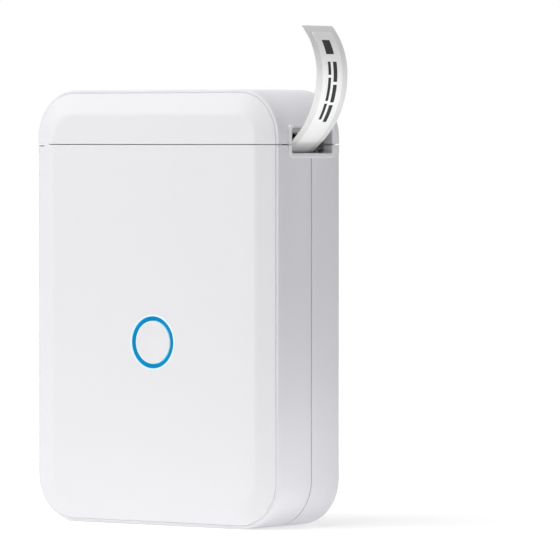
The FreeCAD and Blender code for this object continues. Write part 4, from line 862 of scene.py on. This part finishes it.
# %% One flat label
LABEL_WIDTH = 9.6 * MM
LABEL_LENGTH = 40.0 * MM
LABEL_CORNER = 0.8 * MM
LABEL_SEGMENTS = 6
LABEL_CUTS = round(LABEL_LENGTH / MM)
bpy.ops.object.select_all(action="DESELECT")
bpy.ops.mesh.primitive_plane_add(size=1, location=(LABEL_LENGTH / 2, tape_middle, 0))
labels = bpy.context.object
labels.name = "labels_printed"
labels.scale = (LABEL_LENGTH, LABEL_WIDTH, 1)
bpy.ops.object.transform_apply(location=True, rotation=True, scale=True)
edit(labels)
bpy.ops.mesh.bevel(offset=LABEL_CORNER, segments=LABEL_SEGMENTS, affect="VERTICES")
for cut in range(1, LABEL_CUTS):
    bpy.ops.mesh.select_all(action="SELECT")
    bpy.ops.mesh.bisect(plane_co=(LABEL_LENGTH * cut / LABEL_CUTS, 0, 0), plane_no=(1, 0, 0))
leave()
sheet = labels.data.uv_layers[0]
sheet.name = LABEL_MAP
for loop in labels.data.loops:
    corner = labels.data.vertices[loop.vertex_index].co
    across = (corner.y - tape_middle) / LABEL_WIDTH + 0.5
    sheet.data[loop.index].uv = (corner.x / LABEL_LENGTH, across)
print("flat label:", in_mm((LABEL_LENGTH, LABEL_WIDTH)), "mm,", len(labels.data.polygons), "faces")

# %% [markdown]
# Labels follow one another at an even pitch, from the tip of the strip back to the roll. An Array
# modifier would print them all, but only the first has passed the print head. So the flat label is
# copied, the copies get a UV map that stays off the bars, and each is laid on the outer side of the
# liner. They ride together, so they end as one object.

# %% Labels on the strip
LABEL = 0.15 * MM
LABEL_PITCH = 43.0 * MM
LABEL_MARGIN = 2.4 * MM
tip_label = tape_length - LABEL_MARGIN - LABEL_LENGTH
blank_count = math.floor(tip_label / LABEL_PITCH)
blanks = [twin(labels, "label_%d" % number) for number in range(1, blank_count + 1)]
for blank in blanks:
    for corner in blank.data.uv_layers[LABEL_MAP].data:
        corner.uv = (0, 0)
for number, label in enumerate([labels] + blanks):
    lay_on_tape(label, tip_label - LABEL_PITCH * number, -LINER / 2)
    use_modifier(label, "SOLIDIFY", thickness=LABEL, offset=-1)
focus(labels)
for blank in blanks:
    blank.select_set(True)
bpy.ops.object.join()
smooth(labels, TURNED_ANGLE)
stand_for(labels, "labels", label_paper)
print("labels:", 1 + blank_count, "on the strip,", len(labels.data.polygons), "faces")

# %% [markdown]
# ## The roll
#
# Wound stock shows its turns on its two sides as fine rings. Modelling every turn would take hundreds
# of thousands of faces, so the section's side edges are drawn as a row of tiny ridges before it is
# spun, and the material adds thinner turns between them from the distance to the roll's axis.

# %% Wound stock
ROLL_BORE = 10.25 * MM
TURNS_SHOWN = 34
RIDGE = 0.05 * MM
TURN_FINENESS = 5200.0
STOCK_WHITE = (0.80, 0.795, 0.78)
roll_low, roll_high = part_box("label_roll")
roll_radius = (roll_high.x - roll_low.x) / 2


def ridged_side(y, inward):
    """Section points from the bore out along one side, alternating in depth."""
    count = 2 * TURNS_SHOWN
    return [(ROLL_BORE + (roll_radius - ROLL_BORE) * step / count, y + inward * RIDGE * (step % 2))
            for step in range(count + 1)]


section = ridged_side(roll_low.y, 1) + ridged_side(roll_high.y, -1)[::-1]
roll = lathe("label_roll_wound", section + section[:1], roll_axis.x, roll_axis.z)
smooth(roll, TURNED_ANGLE)
roll_paper, tree, shader = new_material("roll_paper")
turns = add(tree, "ShaderNodeTexNoise",
            {"W": from_axis(tree, roll_axis.x, roll_axis.z), "Scale": TURN_FINENESS, "Detail": 2.0},
            noise_dimensions="1D").outputs[0]
tree.links.new(tinted(tree, turns, STOCK_WHITE, change=0.3), shader.inputs["Base Color"])
tree.links.new(between(tree, turns, low=0.5, high=0.7), shader.inputs["Roughness"])
bump(tree, shader, turns, depth=0.02 * MM)
stand_for(roll, "label_roll", roll_paper)
print("roll:", in_mm([2 * roll_radius]), "mm across,", len(roll.data.polygons), "faces")

# %% [markdown]
# ## The board
#
# A printed board is green lacquer over copper. Tracks show as a slightly lighter, raised maze. Drawing
# each would be slow and read as nothing at this size, so a cell texture with straight city-block
# distance gives lines that meet at right angles.

# %% Solder mask
TRACK_SCALE = 260.0
TRACK_EDGE = 0.62
LACQUER = (0.012, 0.10, 0.045, 1)
LACQUER_ON_COPPER = (0.022, 0.17, 0.075, 1)
board_green, tree, shader = new_material("board_green")
maze = add(tree, "ShaderNodeTexVoronoi",
           {"Vector": front_view(tree), "Scale": TRACK_SCALE, "Randomness": 0.85},
           voronoi_dimensions="2D", distance="MANHATTAN", feature="F2").outputs["Distance"]
track = add(tree, "ShaderNodeValToRGB", {"Fac": maze})
track.color_ramp.interpolation = "CONSTANT"
track.color_ramp.elements[0].color = LACQUER
track.color_ramp.elements[1].position = TRACK_EDGE
track.color_ramp.elements[1].color = LACQUER_ON_COPPER
tree.links.new(track.outputs["Color"], shader.inputs["Base Color"])
tree.links.new(between(tree, maze, low=0.24, high=0.36), shader.inputs["Roughness"])
bump(tree, shader, track.outputs["Color"], depth=0.02 * MM)
print("finishes made:", len(bpy.data.materials))

# %% [markdown]
# ## The rest of the pieces
#
# Each of the other pieces gets the finish that it has on the real thing. A material could be assigned
# piece by piece, but one table shows at a glance what is made of what.

# %% What each piece is made of
FINISHES = {
    case_white: ("front_housing", "rear_housing", "lid_shell"),
    bezel_white: ("outlet_bezel_lower", "outlet_bezel_upper"),
    chassis_black: ("chassis", "lid_frame"),
    screw_steel: ("chassis_screws", "housing_screws", "board_screws", "motor_screws", "lid_frame_screws"),
    board_green: ("main_board",),
    component_black: ("tact_switch", "board_chips", "gap_sensor", "switch_plunger"),
    led_lens: ("ring_leds",),
    shield_tin: ("radio_module",),
    connector_cream: ("board_connectors",),
    sheet_steel: ("usb_socket", "head_spring", "tear_bar", "head_bracket"),
    battery_foil: ("battery",),
    pad_foam: ("battery_pad",),
    wire_red: ("battery_lead",),
    wire_grey: ("motor_lead",),
    motor_can: ("stepper_motor",),
    shaft_steel: ("idler_stud", "head_pivot_pin", "hinge_pin", "platen_shaft", "motor_shaft"),
    bush_bronze: ("platen_bushes",),
    platen_rubber: ("platen_roller",),
    gear_acetal: ("platen_gear", "idler_gear"),
    pinion_brass: ("motor_pinion",),
    head_ceramic: ("print_head",),
    heat_sink_aluminium: ("heat_sink",),
    core_grey: ("roll_core",),
    spindle_white: ("roll_spindle",),
}
print("finishes used inside and on the case:", len(FINISHES))

# %% [markdown]
# These pieces already have the right form, so modelling them again would gain nothing, but their
# meshes are loose triangles with a hard edge at every facet. A copy is merged into one skin, its flat
# areas are cleaned of needless edges, and it is shaded smooth across its curves.

# %% Smoothed copies
SKIN_WELD = 0.0005 * MM
FLAT_ANGLE = math.radians(0.2)


def smoothed(node):
    """A merged and smoothly shaded copy of a construction node."""
    piece = bpy.data.objects.new(node + "_smooth", nodes[node].data.copy())
    bpy.context.collection.objects.link(piece)
    focus(piece)
    bpy.ops.mesh.customdata_custom_splitnormals_clear()
    edit(piece)
    bpy.ops.mesh.remove_doubles(threshold=SKIN_WELD)
    bpy.ops.mesh.dissolve_limited(angle_limit=FLAT_ANGLE)
    leave()
    smooth(piece)
    return piece


for material, members in FINISHES.items():
    for node in members:
        stand_for(smoothed(node), node, material)
print("smoothed", sum(len(members) for members in FINISHES.values()), "pieces")

# %% [markdown]
# ## Camera
#
# A product like this is shown through a long lens from a little above table height, about 36 degrees
# round to the right, so upright edges stay upright and the depth looks short. A wide lens close by
# would make the near corner loom. Place, turn and lens were fitted together to the edges in the photo.

# %% Camera
CAMERA_TURN = math.radians(36.379)
CAMERA_TILT = math.radians(1.404)
CAMERA_PLACE = (1.04702, -1.37533, 0.11395)
LENS = 376.74
SENSOR = 36.0
bpy.ops.object.camera_add(location=CAMERA_PLACE, rotation=(math.pi / 2 - CAMERA_TILT, 0, CAMERA_TURN))
camera = bpy.context.object
camera.data.lens = LENS
camera.data.sensor_width = SENSOR
bpy.context.scene.camera = camera
print("camera:", round(Vector(CAMERA_PLACE).length, 2), "m away")

# %% [markdown]
# ## Floor and light
#
# A product shot on white: the floor and the world show as white to the camera and in reflections,
# while what actually lights the object is a dimmer sky. Brighter lamps could whiten the floor too, but
# they would burn out the case. The floor still takes the shadow, and close by it also gives back a
# little light, as a white table does to the foot of what stands on it.

# %% White floor
FLOOR_SIZE = 60
FLOOR_DROP = 0.1 * MM
FLOOR_COLOUR = (0.92, 0.92, 0.92, 1)
# By distance from the printer in metres: how bright the floor looks, and what it gives back.
GLOW = {"From Min": 0.1, "From Max": 0.5, "To Min": 0.35, "To Max": 1.0}
BOUNCE = {"From Min": 0.06, "From Max": 0.16, "To Min": 0.25, "To Max": 0.0}


def seen_directly(tree):
    """1 for rays that show the background: from the camera, a reflection or through glass."""
    path = add(tree, "ShaderNodeLightPath").outputs
    shown = math_node(tree, "MAXIMUM", path["Is Camera Ray"], path["Is Glossy Ray"])
    return math_node(tree, "MAXIMUM", shown, path["Is Transmission Ray"])


bpy.ops.object.select_all(action="DESELECT")
bpy.ops.mesh.primitive_plane_add(size=FLOOR_SIZE, location=(0, 0, -FLOOR_DROP))
floor = bpy.context.object
floor.name = "studio_floor"
bpy.ops.object.transform_apply(location=True)
floor_white, tree, shader = new_material("floor_white")
tree.nodes.remove(shader)
matt = add(tree, "ShaderNodeBsdfDiffuse", {"Color": FLOOR_COLOUR})
here = add(tree, "ShaderNodeTexCoord").outputs["Object"]
away = add(tree, "ShaderNodeVectorMath", {0: here}, operation="LENGTH").outputs["Value"]
shown = add(tree, "ShaderNodeMapRange", {"Value": away, **GLOW}).outputs[0]
given_back = add(tree, "ShaderNodeMapRange", {"Value": away, **BOUNCE}).outputs[0]
glow = add(tree, "ShaderNodeEmission", {"Strength": between(tree, seen_directly(tree), given_back, shown)})
both = add(tree, "ShaderNodeAddShader", {0: matt.outputs[0], 1: glow.outputs[0]})
tree.links.new(both.outputs[0], tree.nodes["Material Output"].inputs["Surface"])
floor.data.materials.append(floor_white)
print("floor:", FLOOR_SIZE, "m wide")

# %% [markdown]
# The sky follows the same rule: white where it is seen, and a third as bright where it lights. It
# fills the shadows evenly from all round, which a few lamps alone would not.

# %% Sky
SKY = 0.32
world = bpy.data.worlds.new("studio_sky")
world.use_nodes = True
bpy.context.scene.world = world
tree = world.node_tree
background = tree.nodes["Background"]
background.inputs["Color"].default_value = (1, 1, 1, 1)
tree.links.new(between(tree, seen_directly(tree), SKY, 1.0), background.inputs["Strength"])
print("sky:", SKY, "of white")

# %% [markdown]
# Soft boxes do the rest: one above, the key at the front left, a weaker one on the right and one low
# behind, so that the back isn't in the dark. A single lamp would leave hard shadows on a white case.
# Three small ones stand close by, as cards do on a real set: one lifts the foot of the right side, and
# two, narrowed to a cone, light the outer face of the strip and little of the case.

# %% Lamps
# Each lamp has its place, aim and size in metres, its power in watts and its spread in degrees.
LAMPS = {
    "top": ((-0.15, -0.25, 0.95), (0, 0, 0.06), 0.8, 5.6, 180),
    "key": ((-0.95, -0.95, 0.55), (0, 0, 0.06), 0.9, 6.0, 180),
    "right": ((1.10, -0.35, 0.05), (0, 0, 0.08), 0.6, 1.15, 180),
    "rear": ((-0.35, 1.15, 0.08), (0, 0, 0.06), 0.5, 2.6, 180),
    "low_side": ((0.085, -0.01, 0.008), (0, 0, 0.008), 0.03, 0.0048, 180),
    "strip_low": ((0.068, -0.002, 0.02), (0.057, -0.002, 0.135), 0.02, 0.0010, 22),
    "strip_high": ((0.10, -0.02, 0.06), (0.054, 0, 0.15), 0.02, 0.0017, 24),
}
for name, (place, aim, size, power, spread) in LAMPS.items():
    turn = (Vector(aim) - Vector(place)).to_track_quat("-Z", "Y").to_euler()
    bpy.ops.object.light_add(type="AREA", location=place, rotation=turn)
    lamp = bpy.context.object
    lamp.name = name
    lamp.data.size = size
    lamp.data.energy = power
    lamp.data.spread = math.radians(spread)
    lamp.visible_camera = False
bpy.context.scene.view_settings.view_transform = "Standard"
print("lamps:", ", ".join(LAMPS))
